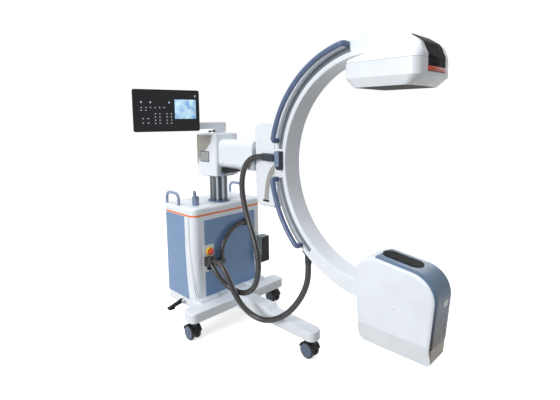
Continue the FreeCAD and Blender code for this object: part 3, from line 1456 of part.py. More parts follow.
def hoses():
    """Each hose leaves its boot square to the boot's face."""
    side = -at("exit_side")
    front = at("exit_front")
    corner = at("stop_height") - at("exit_middle_drop")
    half_bevel = (at("exit_drop") - at("exit_middle_drop")) / 2
    low = V(front - half_bevel, side, corner - half_bevel)
    high = V(front, side, corner + at("exit_rise"))
    steep = V(1, 0, -1).normalize() * at("hose_steep_run")
    boot_run = V(at("boot_run"), 0, 0)
    hose("hose_arm", [low, low + steep, V(262, -190, 376), V(306, -170, 336),
                      V(362, -154, 314), V(425, -145, 314), V(485, -140, 338),
                      V(532, -137, 382), V(560, -135, 440), V(570, -130, 510),
                      V(560, -123, 580), V(532, -116, 650), V(494, -109, 720),
                      V(452, -103, 797), V(412, -101, 885), V(388, -100, 980),
                      V(389, -100, 1060), V(408, -100, 1127), V(438, -100, 1173),
                      V(479, -98, 1205), BOOT_ARM - boot_run, BOOT_ARM], at("hose_radius"))
    boot_drop = V(0, 0, at("boot_drop"))
    level_run = V(at("hose_level_run"), 0, 0)
    hose("hose_tube", [high, high + level_run, V(297, -205, 478), V(337, -202, 432),
                       V(370, -198, 378), V(402, -192, 322), V(438, -181, 270),
                       V(484, -163, 222), V(544, -142, 190), V(614, -123, 184),
                       V(690, -106, 210), V(762, -90, 258), V(824, -74, 326),
                       V(872, -55, 406), V(898, -42, 484), BOOT_FOOT - boot_drop, BOOT_FOOT],
         at("hose_radius"))
    start = V(at("outlet_x"), -at("outlet_side"), at("stop_height") - at("outlet_top_drop"))
    end = V(at("cabinet_front") + at("gland_reach"), at("gland_side"), at("gland_height"))
    hose("hose_loop", [start, start + boot_drop, V(150, -78.5, 590), V(150, -40, 639),
                       V(147.5, 10.5, 675), end - V(0, at("boot_run"), 0), end],
         at("loop_radius"))


hose_glands()
hoses()


# Checks and files
def check_and_write():
    doc.recompute()
    failed = []
    for thing in doc.Objects:
        if "Invalid" in thing.State or "Error" in thing.State:
            failed.append(thing.Name)
    if failed:
        raise RuntimeError("failed: " + ", ".join(failed))
    os.makedirs("parts", exist_ok=True)
    for label, thing in nodes.items():
        shape = thing.Shape
        if shape.isNull() or not shape.isValid():
            raise RuntimeError("%s has no valid shape" % label)
        if not shape.Solids:
            raise RuntimeError("%s has no solid" % label)
    for label, thing in nodes.items():
        thing.Shape.exportStep(os.path.join("parts", label + ".step"))
    print("%d sub-parts written" % len(nodes))


check_and_write()
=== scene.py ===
import math

import bmesh
import bpy
from mathutils import Matrix, Vector
from mathutils.bvhtree import BVHTree

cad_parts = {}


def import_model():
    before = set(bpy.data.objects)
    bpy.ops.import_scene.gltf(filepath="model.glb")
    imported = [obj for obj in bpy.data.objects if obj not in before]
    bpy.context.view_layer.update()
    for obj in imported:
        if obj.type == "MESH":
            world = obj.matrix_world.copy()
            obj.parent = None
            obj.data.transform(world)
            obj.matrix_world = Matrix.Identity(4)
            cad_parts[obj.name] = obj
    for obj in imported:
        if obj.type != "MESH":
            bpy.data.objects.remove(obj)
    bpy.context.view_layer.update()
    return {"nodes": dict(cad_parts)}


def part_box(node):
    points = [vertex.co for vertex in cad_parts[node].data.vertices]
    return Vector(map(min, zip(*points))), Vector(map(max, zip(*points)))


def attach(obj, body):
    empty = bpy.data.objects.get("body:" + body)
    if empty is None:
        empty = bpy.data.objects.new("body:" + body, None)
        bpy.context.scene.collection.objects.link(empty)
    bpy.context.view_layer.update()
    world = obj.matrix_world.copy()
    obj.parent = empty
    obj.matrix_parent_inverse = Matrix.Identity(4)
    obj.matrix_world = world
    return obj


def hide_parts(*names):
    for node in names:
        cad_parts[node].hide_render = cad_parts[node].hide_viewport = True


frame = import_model()


# Colours, as they look under plain light
def tone(red, green, blue):
    """A colour given as it is seen, turned into the shader's linear values."""
    def linear(value):
        value /= 255
        return value / 12.92 if value <= 0.04045 else ((value + 0.055) / 1.055) ** 2.4
    return (linear(red), linear(green), linear(blue), 1.0)


WHITE = tone(235, 242, 248)
WARM_WHITE = tone(226, 229, 230)
PALE_BLUE = tone(108, 142, 184)
RAIL_BLUE = tone(78, 98, 136)
HANDLE_BLUE = tone(134, 152, 178)
PLATE_BLUE = tone(116, 132, 160)
DARK_SLATE = tone(44, 52, 62)
SWITCH_BLUE = tone(112, 130, 158)
DEEP_BLUE = tone(80, 94, 118)
ORANGE = tone(238, 120, 44)
RED_ORANGE = tone(204, 72, 42)
BLACK = tone(22, 23, 26)
SOFT_BLACK = tone(32, 32, 35)
MATT_BLACK = tone(20, 20, 22)
GLASS_BLACK = tone(18, 19, 23)
HOSE_BLACK = tone(40, 38, 40)
TREAD_BLACK = tone(38, 38, 41)
GREY = tone(120, 124, 128)
# Painted shade on the floor of the C's recess
RECESS_PAINTED_SHADE = tone(124, 130, 138)
# Painted shade in the sweep on the head's rear sides
SCOOP_PAINTED_SHADE = tone(160, 157, 150)
SEAM_GREY = tone(96, 98, 102)
PALE_SEAM = tone(168, 170, 172)
SIDE_STRIP_GREY = tone(160, 160, 157)
# Painted shade on the tube's end faces that look along +X
END_PAINTED_SHADE = tone(126, 117, 102)
GREEN_GREY = tone(104, 120, 114)
RED = tone(206, 38, 26)
YELLOW = tone(232, 186, 40)
STEEL = tone(178, 182, 186)
# Dark and pale tones of the column's painted reflections
COLUMN_REFLECTION_DARK = tone(58, 68, 76)
COLUMN_REFLECTION_PALE = tone(196, 202, 206)
# The tube band's own tone with painted reflection, dark at the bottom and blue at the top
BAND_DARK = tone(52, 50, 54)
BAND_BLUE = tone(108, 132, 158)
PICTURE_PALE = tone(206, 240, 248)
PICTURE_BLUE = tone(128, 176, 226)
ICON_PALE = tone(212, 222, 238)


# Materials
NOISE_MIDDLE = (0.35, 0.65)
DRIFT_SCALE = 6.0
DRIFT_TONES = (0.965, 1.03)
ROUGH_SCALE = 40.0
ROUGH_SPREAD = 0.05
SKIN_GRAIN = 900.0
SKIN_DEPTH = 0.00006
FIRM_GRAIN = 1100.0
FIRM_DEPTH = 0.0001
LINE_GRAIN = 700.0
LINE_DEPTH = 0.00004
LINE_STRETCH = (1.0, 1.0, 0.02)
COAT_ROUGHNESS = 0.15


def new_material(name):
    material = bpy.data.materials.new(name)
    material.use_nodes = True
    tree = material.node_tree
    shader = tree.nodes["Principled BSDF"]
    return material, tree, shader


def place_node(tree):
    return tree.nodes.new("ShaderNodeTexCoord").outputs["Object"]


def coordinate(tree, axis, of="Object"):
    parts = tree.nodes.new("ShaderNodeSeparateXYZ")
    tree.links.new(tree.nodes.new("ShaderNodeTexCoord").outputs[of], parts.inputs["Vector"])
    return parts.outputs[axis]


def noise(tree, scale, detail=3.0, roughness=0.5, vector=None):
    node = tree.nodes.new("ShaderNodeTexNoise")
    node.inputs["Scale"].default_value = scale
    node.inputs["Detail"].default_value = detail
    node.inputs["Roughness"].default_value = roughness
    tree.links.new(vector or place_node(tree), node.inputs["Vector"])
    return node.outputs["Fac"]


def ramp(tree, source, start, end, low=0.0, high=1.0):
    """One value at the start, another at the end, straight between them."""
    node = tree.nodes.new("ShaderNodeMapRange")
    node.inputs["From Min"].default_value = start
    node.inputs["From Max"].default_value = end
    node.inputs["To Min"].default_value = low
    node.inputs["To Max"].default_value = high
    tree.links.new(source, node.inputs["Value"])
    return node.outputs["Result"]


def spread(tree, source, low=0.0, high=1.0):
    """Maps the middle of a noise to a small range."""
    return ramp(tree, source, *NOISE_MIDDLE, low, high)


def curve_map(tree, source, marks):
    """A curve through value pairs, read at one value."""
    node = tree.nodes.new("ShaderNodeFloatCurve")
    line = node.mapping.curves[0]
    line.points[0].location = marks[0]
    line.points[1].location = marks[-1]
    for mark in marks[1:-1]:
        line.points.new(*mark)
    node.mapping.update()
    tree.links.new(source, node.inputs["Value"])
    return node.outputs["Value"]


def calculated(tree, operation, first, second=None):
    node = tree.nodes.new("ShaderNodeMath")
    node.operation = operation
    for socket, value in zip(node.inputs, (first, second)):
        if isinstance(value, float):
            socket.default_value = value
        elif value is not None:
            tree.links.new(value, socket)
    return node.outputs["Value"]


def product(tree, masks):
    """1 where every mask is 1."""
    result = masks[0]
    for mask in masks[1:]:
        result = calculated(tree, "MULTIPLY", result, mask)
    return result


def mixed(tree, factor, first, second):
    node = tree.nodes.new("ShaderNodeMix")
    node.data_type = "RGBA"
    tree.links.new(factor, node.inputs["Factor"])
    for socket, value in (("A", first), ("B", second)):
        target = [s for s in node.inputs if s.name == socket and s.type == "RGBA"][0]
        if isinstance(value, tuple):
            target.default_value = value
        else:
            tree.links.new(value, target)
    return [s for s in node.outputs if s.type == "RGBA"][0]


def shade(colour, factor):
    return tuple(min(1.0, channel * factor) for channel in colour[:3]) + (1.0,)


def drifting(tree, colour, tones=DRIFT_TONES, scale=DRIFT_SCALE):
    """A colour that drifts between two strengths."""
    drift = spread(tree, noise(tree, scale))
    return mixed(tree, drift, shade(colour, tones[0]), shade(colour, tones[1]))


def bump(tree, shader, source, distance):
    node = tree.nodes.new("ShaderNodeBump")
    node.inputs["Distance"].default_value = distance
    node.inputs["Strength"].default_value = 1.0
    tree.links.new(source, node.inputs["Height"])
    tree.links.new(node.outputs["Normal"], shader.inputs["Normal"])


def roughened(tree, shader, source, low, high):
    tree.links.new(spread(tree, source, low, high), shader.inputs["Roughness"])


def skin(tree, shader, colour, roughness, grain=SKIN_GRAIN, depth=SKIN_DEPTH,
         uneven=ROUGH_SPREAD):
    """Links a colour, with a drifting roughness and a fine skin."""
    tree.links.new(colour, shader.inputs["Base Color"])
    roughened(tree, shader, noise(tree, ROUGH_SCALE), roughness - uneven, roughness + uneven)
    bump(tree, shader, noise(tree, grain, 2.0), depth)


def coated(shader, shine, coat, coat_roughness):
    shader.inputs["Specular IOR Level"].default_value = shine
    shader.inputs["Coat Weight"].default_value = coat
    shader.inputs["Coat Roughness"].default_value = coat_roughness


def drawn_lines(tree):
    """Fine lines drawn along the height."""
    stretch = tree.nodes.new("ShaderNodeMapping")
    stretch.inputs["Scale"].default_value = LINE_STRETCH
    tree.links.new(place_node(tree), stretch.inputs["Vector"])
    return noise(tree, LINE_GRAIN, 4.0, 0.6, stretch.outputs["Vector"])


def moulded(name, colour, roughness=0.42, grain=SKIN_GRAIN, depth=SKIN_DEPTH, coat=0.0,
            shine=0.5):
    """Moulded plastic or powder coat: faint drifts of tone and a fine skin."""
    material, tree, shader = new_material(name)
    skin(tree, shader, drifting(tree, colour), roughness, grain, depth)
    coated(shader, shine, coat, COAT_ROUGHNESS)
    return material


def brushed(name, colour):
    """Metal with fine lines drawn along one direction."""
    material, tree, shader = new_material(name)
    lines = drawn_lines(tree)
    roughened(tree, shader, lines, 0.26, 0.44)
    tree.links.new(mixed(tree, spread(tree, lines), shade(colour, 0.9), shade(colour, 1.06)),
                   shader.inputs["Base Color"])
    bump(tree, shader, lines, LINE_DEPTH)
    shader.inputs["Metallic"].default_value = 0.85
    return material


def reflection_banded(name, deep, pale, half, marks):
    """A brushed extrusion with painted reflections: pale and dark upright bands stand in for
    the light its flutes catch.
    """
    material, tree, shader = new_material(name)
    around = calculated(tree, "ADD", coordinate(tree, "X"), coordinate(tree, "Y"))
    band = curve_map(tree, ramp(tree, around, -2 * half, 2 * half), marks)
    lines = drawn_lines(tree)
    roughened(tree, shader, lines, 0.26, 0.42)
    tree.links.new(mixed(tree, band, deep, pale), shader.inputs["Base Color"])
    bump(tree, shader, lines, LINE_DEPTH)
    shader.inputs["Metallic"].default_value = 0.7
    return material


def glossy(name, colour, roughness, coat=0.4, shine=0.5):
    material, tree, shader = new_material(name)
    tree.links.new(drifting(tree, colour, (0.92, 1.08), 9.0), shader.inputs["Base Color"])
    roughened(tree, shader, noise(tree, 30.0), roughness, roughness + 0.07)
    coated(shader, shine, coat, 0.08)
    return material


def rubber(name, colour, roughness):
    """Dull rubber with a fine pitted skin and paler dusty drifts."""
    material, tree, shader = new_material(name)
    dust = spread(tree, noise(tree, 14.0, 5.0, 0.65))
    tree.links.new(mixed(tree, dust, colour, shade(colour, 1.5)), shader.inputs["Base Color"])
    roughened(tree, shader, noise(tree, 60.0), roughness - 0.07, roughness + 0.07)
    bump(tree, shader, noise(tree, 1400.0, 2.0), 0.00012)
    return material


def low_toned(name, base, other, top):
    """One colour, with another below a height."""
    material, tree, shader = new_material(name)
    mask = calculated(tree, "LESS_THAN", coordinate(tree, "Z"), top)
    colour = mixed(tree, mask, drifting(tree, base), drifting(tree, other, (0.95, 1.05)))
    skin(tree, shader, colour, 0.42)
    return material


def ringed(name, base, other, low, high, side):
    """The C's paint, with painted shade: another tone in the recess between two radii."""
    material, tree, shader = new_material(name)
    flat = tree.nodes.new("ShaderNodeMapping")
    flat.inputs["Location"].default_value = (-C_CENTRE.x, 0.0, -C_CENTRE.z)
    flat.inputs["Scale"].default_value = (1.0, 0.0, 1.0)
    tree.links.new(place_node(tree), flat.inputs["Vector"])
    length = tree.nodes.new("ShaderNodeVectorMath")
    length.operation = "LENGTH"
    tree.links.new(flat.outputs["Vector"], length.inputs[0])
    radius = length.outputs["Value"]
    wide = calculated(tree, "ABSOLUTE", coordinate(tree, "Y"))
    mask = product(tree, [calculated(tree, "GREATER_THAN", radius, low),
                          calculated(tree, "LESS_THAN", radius, high),
                          calculated(tree, "LESS_THAN", wide, side),
                          calculated(tree, "GREATER_THAN", wide, side - 0.02)])
    skin(tree, shader, mixed(tree, mask, drifting(tree, base), other), 0.38, 1200.0,
         uneven=0.04)
    return material


def end_shaded(name, base, other, top):
    """One colour, with another as painted shade on the faces that look along +X below a height.
    """
    material, tree, shader = new_material(name)
    mask = product(tree, [ramp(tree, coordinate(tree, "X", "Normal"), 0.55, 0.85),
                          ramp(tree, coordinate(tree, "Z"), top + 0.001, top)])
    skin(tree, shader, mixed(tree, mask, drifting(tree, base), drifting(tree, other)), 0.4)
    return material


def graded(name, lower, upper, start, end):
    """A colour that turns into another with height: the band's own tone with painted
    reflection, darker towards the bottom.
    """
    material, tree, shader = new_material(name)
    height = ramp(tree, coordinate(tree, "Z"), start, end)
    skin(tree, shader, mixed(tree, height, drifting(tree, lower), drifting(tree, upper)), 0.36)
    shader.inputs["Specular IOR Level"].default_value = 0.25
    return material


# Reach of the painted shade sweep from the head's back, in metres, against its height from foot
# to top
SCOOP_LOW = 1.085
SCOOP_TOP = 1.345
SCOOP_BACK = 0.119
SCOOP_LINE = ((0.0, 0.0), (0.10, 0.004), (0.26, 0.022), (0.50, 0.066), (0.60, 0.118),
              (0.70, 0.150), (0.86, 0.178), (1.0, 0.200))


def scooped(name, base, other):
    """The head's paint, with painted shade in a grey sweep down its rear edge on both sides."""
    material, tree, shader = new_material(name)
    level = coordinate(tree, "Z")
    width = curve_map(tree, ramp(tree, level, SCOOP_LOW, SCOOP_TOP), SCOOP_LINE)
    reach = calculated(tree, "ADD", coordinate(tree, "X"), SCOOP_BACK)
    wide = calculated(tree, "ABSOLUTE", coordinate(tree, "Y"))
    mask = product(tree, [ramp(tree, calculated(tree, "SUBTRACT", width, reach), 0.0, 0.003),
                          ramp(tree, level, SCOOP_LOW, SCOOP_LOW + 0.004),
                          ramp(tree, level, SCOOP_TOP + 0.001, SCOOP_TOP - 0.007),
                          ramp(tree, wide, 0.088, 0.096)])
    skin(tree, shader, mixed(tree, mask, drifting(tree, base), drifting(tree, other)), 0.42)
    return material


def clouded(name, pale, deep):
    """A lit screen area with soft plain clouds of colour."""
    material, tree, shader = new_material(name)
    clouds = spread(tree, noise(tree, 26.0, 3.0, 0.55))
    colour = mixed(tree, clouds, pale, deep)
    skin(tree, shader, colour, 0.25)
    tree.links.new(colour, shader.inputs["Emission Color"])
    shader.inputs["Emission Strength"].default_value = 0.35
    return material


# Places in the row frame, in metres
C_CENTRE = Vector((1.326, 0.0, 1.189))
C_OUTER = 0.670
COLUMN_LOW, COLUMN_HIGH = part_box("outer_column")
COLUMN_HALF = (COLUMN_HIGH[0] - COLUMN_LOW[0]) / 2

# Share of the pale tone in the column's painted reflections, from the column's left corner over
# the near one to the right one
COLUMN_REFLECTION_BANDS = ((0.0, 0.60), (0.06, 0.45), (0.12, 0.20), (0.20, 0.32), (0.30, 0.10),
                (0.42, 0.28), (0.49, 0.75), (0.52, 0.70), (0.58, 0.05), (0.70, 0.08),
                (0.76, 0.70), (0.80, 0.55), (0.86, 0.18), (1.0, 0.30))

MATERIALS = {
    "white": moulded("white_casing", WHITE, 0.38, coat=0.12),
    "white_metal": moulded("white_powder_coat", WHITE, 0.45, 1300.0, FIRM_DEPTH),
    "warm_white": moulded("warm_white_casing", WARM_WHITE, 0.42),
    "panel_blue": moulded("panel_blue", PALE_BLUE, 0.36, coat=0.15),
    "rail_blue": moulded("rail_blue", RAIL_BLUE, 0.32, coat=0.2),
    "handle_blue": moulded("handle_blue", HANDLE_BLUE, 0.28, coat=0.3),
    "plate_blue": moulded("plate_blue", PLATE_BLUE, 0.36),
    "slate": moulded("dark_slate", DARK_SLATE, 0.4, shine=0.3),
    "switch_blue": moulded("switch_blue", SWITCH_BLUE, 0.38, coat=0.15),
    "red_orange": moulded("red_orange_trim", RED_ORANGE, 0.38),
    "seam": moulded("seam_shadow", SEAM_GREY, 0.7, shine=0.2),
    "seam_pale": moulded("pale_seam", PALE_SEAM, 0.7, shine=0.2),
    "icon": moulded("screen_marks", ICON_PALE, 0.4),
    "deep_blue": moulded("deep_blue", DEEP_BLUE, 0.4),
    "orange": moulded("orange_trim", ORANGE, 0.35),
    "black": moulded("black_plastic", BLACK, 0.45, FIRM_GRAIN, FIRM_DEPTH, shine=0.2),
    "soft_black": moulded("soft_black", SOFT_BLACK, 0.5, FIRM_GRAIN, FIRM_DEPTH, shine=0.22),
    "matt_black": moulded("matt_black", MATT_BLACK, 0.6, FIRM_GRAIN, FIRM_DEPTH, shine=0.05),
    "gloss_black": glossy("gloss_black", GLASS_BLACK, 0.16, 0.0, 0.28),
    "rubber": rubber("hose_rubber", HOSE_BLACK, 0.3),
    "tread": rubber("castor_tread", TREAD_BLACK, 0.7),
    "red": glossy("stop_red", RED, 0.25),
    "yellow": moulded("stop_yellow", YELLOW, 0.35),
    "steel": brushed("satin_steel", STEEL),
    "column": reflection_banded("column_anodised_with_painted_reflections", COLUMN_REFLECTION_DARK, COLUMN_REFLECTION_PALE, COLUMN_HALF, COLUMN_REFLECTION_BANDS),
    "inner": moulded("inner_parts", GREY, 0.6),
    "side_strip_grey": moulded("side_strip_grey", SIDE_STRIP_GREY, 0.45),
    "c_paint_with_painted_shade": ringed("c_paint_with_painted_shade", WHITE, RECESS_PAINTED_SHADE, 0.6085, 0.6395, 0.0645),
    "foot_switch": low_toned("foot_switch_case", GREEN_GREY, BLACK, 0.418),
    "tube_paint_with_painted_shade": end_shaded("tube_paint_with_painted_shade", WHITE, END_PAINTED_SHADE, 0.402),
    "band_paint_and_painted_reflection": graded("band_paint_and_painted_reflection", BAND_DARK, BAND_BLUE, 0.44, 0.70),
    "head_paint_with_painted_shade": scooped("head_paint_with_painted_shade", WHITE, SCOOP_PAINTED_SHADE),
    "picture": clouded("screen_picture", PICTURE_PALE, PICTURE_BLUE),
}

NODE_FINISH = {
    "white": ["base_cover", "cabinet_shell", "service_plate", "top_cover",
              "arm_housing", "carriage_shell", "detector_housing", "detector_cover"],
    "white_metal": ["chassis", "front_leg", "monitor_bracket", "foot_switch_bracket"],
    "panel_blue": ["body_panels", "front_panel"],
    "rail_blue": ["grab_handles", "lever_base", "column_flange"],
    "handle_blue": ["push_handles"],
    "plate_blue": ["cable_plate"],
    "switch_blue": ["switch_holder", "hand_switch"],
    "orange": ["accent_stripe"],
    "black": ["mains_inlet", "brake_pedal", "arm_lock_lever", "foot_switch_pedal",
              "hand_switch_button", "monitor_casing"],
    "soft_black": ["castor_fork_1", "castor_fork_2", "castor_fork_3", "castor_fork_4"],
    "matt_black": ["tube_lid", "detector_window", "detector_strap"],
    "gloss_black": ["monitor_glass"],
    "rubber": ["hose_glands"],
    "slate": ["cable_boots"],
    "tread": ["castor_wheels_1", "castor_wheels_2", "castor_wheels_3", "castor_wheels_4"],
    "red": ["stop_button"],
    "yellow": ["stop_collar"],
    "steel": ["arm_shaft", "carriage_rollers", "lift_actuator", "xray_tube"],
    "column": ["outer_column", "inner_column"],
    "inner": ["generator_unit", "collimator"],
    "c_paint_with_painted_shade": ["c_profile"],
    "foot_switch": ["foot_switch"],
    "tube_paint_with_painted_shade": ["tube_housing"],
    "band_paint_and_painted_reflection": ["tube_band"],
    "head_paint_with_painted_shade": ["head_shell"],
}


def paint(thing, key):
    thing.data.materials.clear()
    thing.data.materials.append(MATERIALS[key])


for finish_name, node_names in NODE_FINISH.items():
    for node_name in node_names:
        paint(frame["nodes"][node_name], finish_name)


# Pieces
NEAR = Vector((0, -1, 0))
UP = Vector((0, 0, 1))


def new_piece(name, mesh, key, body):
    thing = bpy.data.objects.new(name, mesh)
    bpy.context.collection.objects.link(thing)
    mesh.materials.append(MATERIALS[key])
    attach(thing, body)
    return thing


def smooth(mesh, angle=35.0):
    mesh.shade_smooth()
    mesh.set_sharp_from_angle(angle=math.radians(angle))


def from_bmesh(name, shape, key, body, angle=35.0):
    bmesh.ops.recalc_face_normals(shape, faces=shape.faces)
    mesh = bpy.data.meshes.new(name)
    shape.to_mesh(mesh)
    shape.free()
    smooth(mesh, angle)
    new_piece(name, mesh, key, body)


def turned_shape(profile, steps=48):
    """A closed turned form about Z from radius and height pairs that start and end at 0."""
    shape = bmesh.new()
    rings = []
    for radius, height in profile:
        if radius == 0:
            rings.append([shape.verts.new((0, 0, height))])
            continue
        turn = 2 * math.pi / steps
        rings.append([shape.verts.new((radius * math.cos(turn * i), radius * math.sin(turn * i),
                                       height)) for i in range(steps)])
    for lower, upper in zip(rings, rings[1:]):
        for i in range(steps):
            j = (i + 1) % steps
            corners = [lower[i % len(lower)], lower[j % len(lower)],
                       upper[j % len(upper)], upper[i % len(upper)]]
            unique = list(dict.fromkeys(corners))
            if len(unique) > 2:
                shape.faces.new(unique)
    return shape


def walls(shape, rows):
    """Faces between rows of equal count, open at both ends."""
    for first, second in zip(rows, rows[1:]):
        for k in range(len(first)):
            m = (k + 1) % len(first)
            shape.faces.new((first[k], first[m], second[m], second[k]))


def loft(shape, rows):
    walls(shape, rows)
    shape.faces.new(rows[0])
    shape.faces.new(list(reversed(rows[-1])))


def rounded_plate(width, height, corner, thick, bevel, steps=8):
    """A plate in its own XY plane with rounded corners and a soft front rim."""
    outline = []
    for side_x, side_y, start in ((1, 1, 0), (-1, 1, 90), (-1, -1, 180), (1, -1, 270)):
        centre = Vector((side_x * (width / 2 - corner), side_y * (height / 2 - corner)))
        for i in range(steps + 1):
            turn = math.radians(start + 90 * i / steps)
            outline.append((centre, Vector((math.cos(turn), math.sin(turn)))))
    shape = bmesh.new()
    rows = []
    for inset, level in ((0.0, 0.0), (0.0, thick - bevel), (bevel * 0.3, thick - bevel * 0.3),
                         (bevel, thick)):
        row = []
        for centre, ray in outline:
            spot = centre + ray * (corner - inset)
            row.append(shape.verts.new((spot.x, spot.y, level)))
        rows.append(row)
    walls(shape, rows)
    shape.faces.new(rows[-1])
    shape.faces.new(list(reversed(rows[0])))
    return shape


def facing(normal):
    """A rotation that turns +Z to the normal and +Y as near to up as it goes."""
    normal = Vector(normal).normalized()
    across = UP.cross(normal).normalized()
    return Matrix((across, normal.cross(across), normal)).transposed().to_4x4()


def set_at(shape, spot, normal):
    shape.transform(Matrix.Translation(spot) @ facing(normal))
    return shape


# Hoses
def hose(name, points, diameter, node):
    curve = bpy.data.curves.new(name, "CURVE")
    curve.dimensions = "3D"
    curve.bevel_depth = diameter / 2
    curve.bevel_resolution = 8
    curve.resolution_u = 24
    spline = curve.splines.new("NURBS")
    spline.points.add(len(points) - 1)
    for target, spot in zip(spline.points, points):
        target.co = (spot[0], spot[1], spot[2], 1.0)
    spline.order_u = 3
    spline.use_endpoint_u = True
    thing = bpy.data.objects.new(name, curve)
    bpy.context.collection.objects.link(thing)
    curve.materials.append(MATERIALS["rubber"])
    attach(thing, "stand")
    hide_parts(node)
    return thing


HOSE_EXIT_SIDE = -0.207
ARM_EXIT = (0.1825, HOSE_EXIT_SIDE, 0.4655)
TUBE_EXIT = (0.200, HOSE_EXIT_SIDE, 0.503)
LOOP_EXIT = (0.150, -0.099, 0.474)
ARM_BOOT = (0.580, -0.090, 1.222)
FOOT_BOOT = (0.90436, -0.038, 0.60631)

ARM_HOSE_POINTS = [
    ARM_EXIT, (0.22493, HOSE_EXIT_SIDE, 0.42307), (0.262, -0.190, 0.376),
    (0.306, -0.170, 0.336), (0.362, -0.154, 0.314), (0.425, -0.145, 0.314),
    (0.485, -0.140, 0.338), (0.532, -0.137, 0.382), (0.560, -0.135, 0.440),
    (0.570, -0.130, 0.510), (0.560, -0.123, 0.580), (0.532, -0.116, 0.650),
    (0.494, -0.109, 0.720), (0.452, -0.103, 0.797), (0.412, -0.101, 0.885),
    (0.388, -0.100, 0.980), (0.389, -0.100, 1.060), (0.408, -0.100, 1.127),
    (0.438, -0.100, 1.173), (0.479, -0.098, 1.205), (0.530, -0.090, 1.222), ARM_BOOT]
TUBE_HOSE_POINTS = [
    TUBE_EXIT, (0.248, HOSE_EXIT_SIDE, 0.503), (0.297, -0.205, 0.478),
    (0.337, -0.202, 0.432), (0.370, -0.198, 0.378), (0.402, -0.192, 0.322),
    (0.438, -0.181, 0.270), (0.484, -0.163, 0.222), (0.544, -0.142, 0.190),
    (0.614, -0.123, 0.184), (0.690, -0.106, 0.210), (0.762, -0.090, 0.258),
    (0.824, -0.074, 0.326), (0.872, -0.055, 0.406), (0.898, -0.042, 0.484),
    (0.90436, -0.038, 0.54631), FOOT_BOOT]
LOOP_HOSE_POINTS = [
    LOOP_EXIT, (0.150, -0.099, 0.534), (0.150, -0.0785, 0.590), (0.150, -0.040, 0.639),
    (0.1475, 0.0105, 0.675), (0.145, 0.068, 0.694), (0.145, 0.118, 0.694)]

arm_hose = hose("arm_hose", ARM_HOSE_POINTS, 0.036, "hose_arm")
tube_hose = hose("tube_hose", TUBE_HOSE_POINTS, 0.036, "hose_tube")
loop_hose = hose("loop_hose", LOOP_HOSE_POINTS, 0.031, "hose_loop")


# Castor hub discs, one dished cap on each side of each twin wheel
CAP_PROFILE = [(0, -0.001), (0.041, -0.001), (0.041, 0.0006), (0.037, 0.0024), (0.030, 0.0022),
               (0.024, 0.0010), (0.012, 0.0012), (0.0095, 0.0030), (0, 0.0036)]


def castor_caps():
    for number in range(1, 5):
        low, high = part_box("castor_wheels_%d" % number)
        middle = (Vector(low) + Vector(high)) / 2
        for side, end in ((-1, low[1]), (1, high[1])):
            cap = turned_shape(CAP_PROFILE)
            set_at(cap, Vector((middle.x, end, middle.z)), (0, side, 0))
            label = "castor_cap_%d_%s" % (number, "near" if side < 0 else "far")
            from_bmesh(label, cap, "deep_blue", "castor_wheels_%d" % number)


castor_caps()


# Blank plate on the near side of the head
def head_plate():
    spot = Vector((-0.0185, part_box("head_shell")[0][1], 1.1895))
    framed = rounded_plate(0.109, 0.077, 0.006, 0.0016, 0.0008)
    from_bmesh("head_plate_frame", set_at(framed, spot, NEAR), "black", "head")
    face = rounded_plate(0.099, 0.067, 0.004, 0.0021, 0.0003)
    from_bmesh("head_plate_face", set_at(face, spot, NEAR), "seam_pale", "head")


head_plate()


# Slices of a node's own outline, a little proud of it
FLAT_FACE = 0.9
SAME_PLACE = 1e-6


def slice_of(name, node, low, high, proud, key, body):
    shape = bmesh.new()
    shape.from_mesh(frame["nodes"][node].data)
    for level, normal in ((high, (0, 0, 1)), (low, (0, 0, -1))):
        geometry = shape.verts[:] + shape.edges[:] + shape.faces[:]
        bmesh.ops.bisect_plane(shape, geom=geometry, plane_co=(0, 0, level), plane_no=normal,
                               clear_outer=True)
    bmesh.ops.remove_doubles(shape, verts=shape.verts[:], dist=SAME_PLACE)
    flat = [face for face in shape.faces if abs(face.normal.z) > FLAT_FACE]
    bmesh.ops.delete(shape, geom=flat, context="FACES")
    shape.normal_update()
    for vertex in shape.verts:
        out = Vector((vertex.normal.x, vertex.normal.y, 0))
        if out.length > 0:
            vertex.co += out.normalized() * proud
    mesh = bpy.data.meshes.new(name)
    shape.to_mesh(mesh)
    shape.free()
    smooth(mesh)
    thing = new_piece(name, mesh, key, body)
    thickness = thing.modifiers.new("thickness", "SOLIDIFY")
    thickness.thickness = proud * 1.5
    thickness.offset = -1.0


STRAP_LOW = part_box("detector_strap")[0][2]
HOUSING_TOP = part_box("detector_housing")[1][2]
slice_of("strap_strip", "detector_strap", STRAP_LOW + 0.002, STRAP_LOW + 0.022, 0.0006,
         "red_orange", "c_arm")
slice_of("detector_seam", "detector_housing", HOUSING_TOP - 0.0012, HOUSING_TOP - 0.0002,
         0.0004, "seam", "c_arm")


# Strips that lie on a node's surface
AWAY = Vector((0, 1, 0))
CAST_START = 0.2
STRIP_STEPS = 8
SUNK = 0.0006


def surface(node):
    data = frame["nodes"][node].data
    corners = [vertex.co for vertex in data.vertices]
    return BVHTree.FromPolygons(corners, [list(polygon.vertices) for polygon in data.polygons])


def between(marks, index, part):
    """A place on the smooth curve through marks, after one mark and before the next."""
    here = marks[index]
    there = marks[index + 1]
    lead = (there - marks[max(index - 1, 0)]) * 0.5
    tail = (marks[min(index + 2, len(marks) - 1)] - here) * 0.5
    return ((2 * part ** 3 - 3 * part ** 2 + 1) * here
            + (part ** 3 - 2 * part ** 2 + part) * lead
            + (3 * part ** 2 - 2 * part ** 3) * there
            + (part ** 3 - part ** 2) * tail)


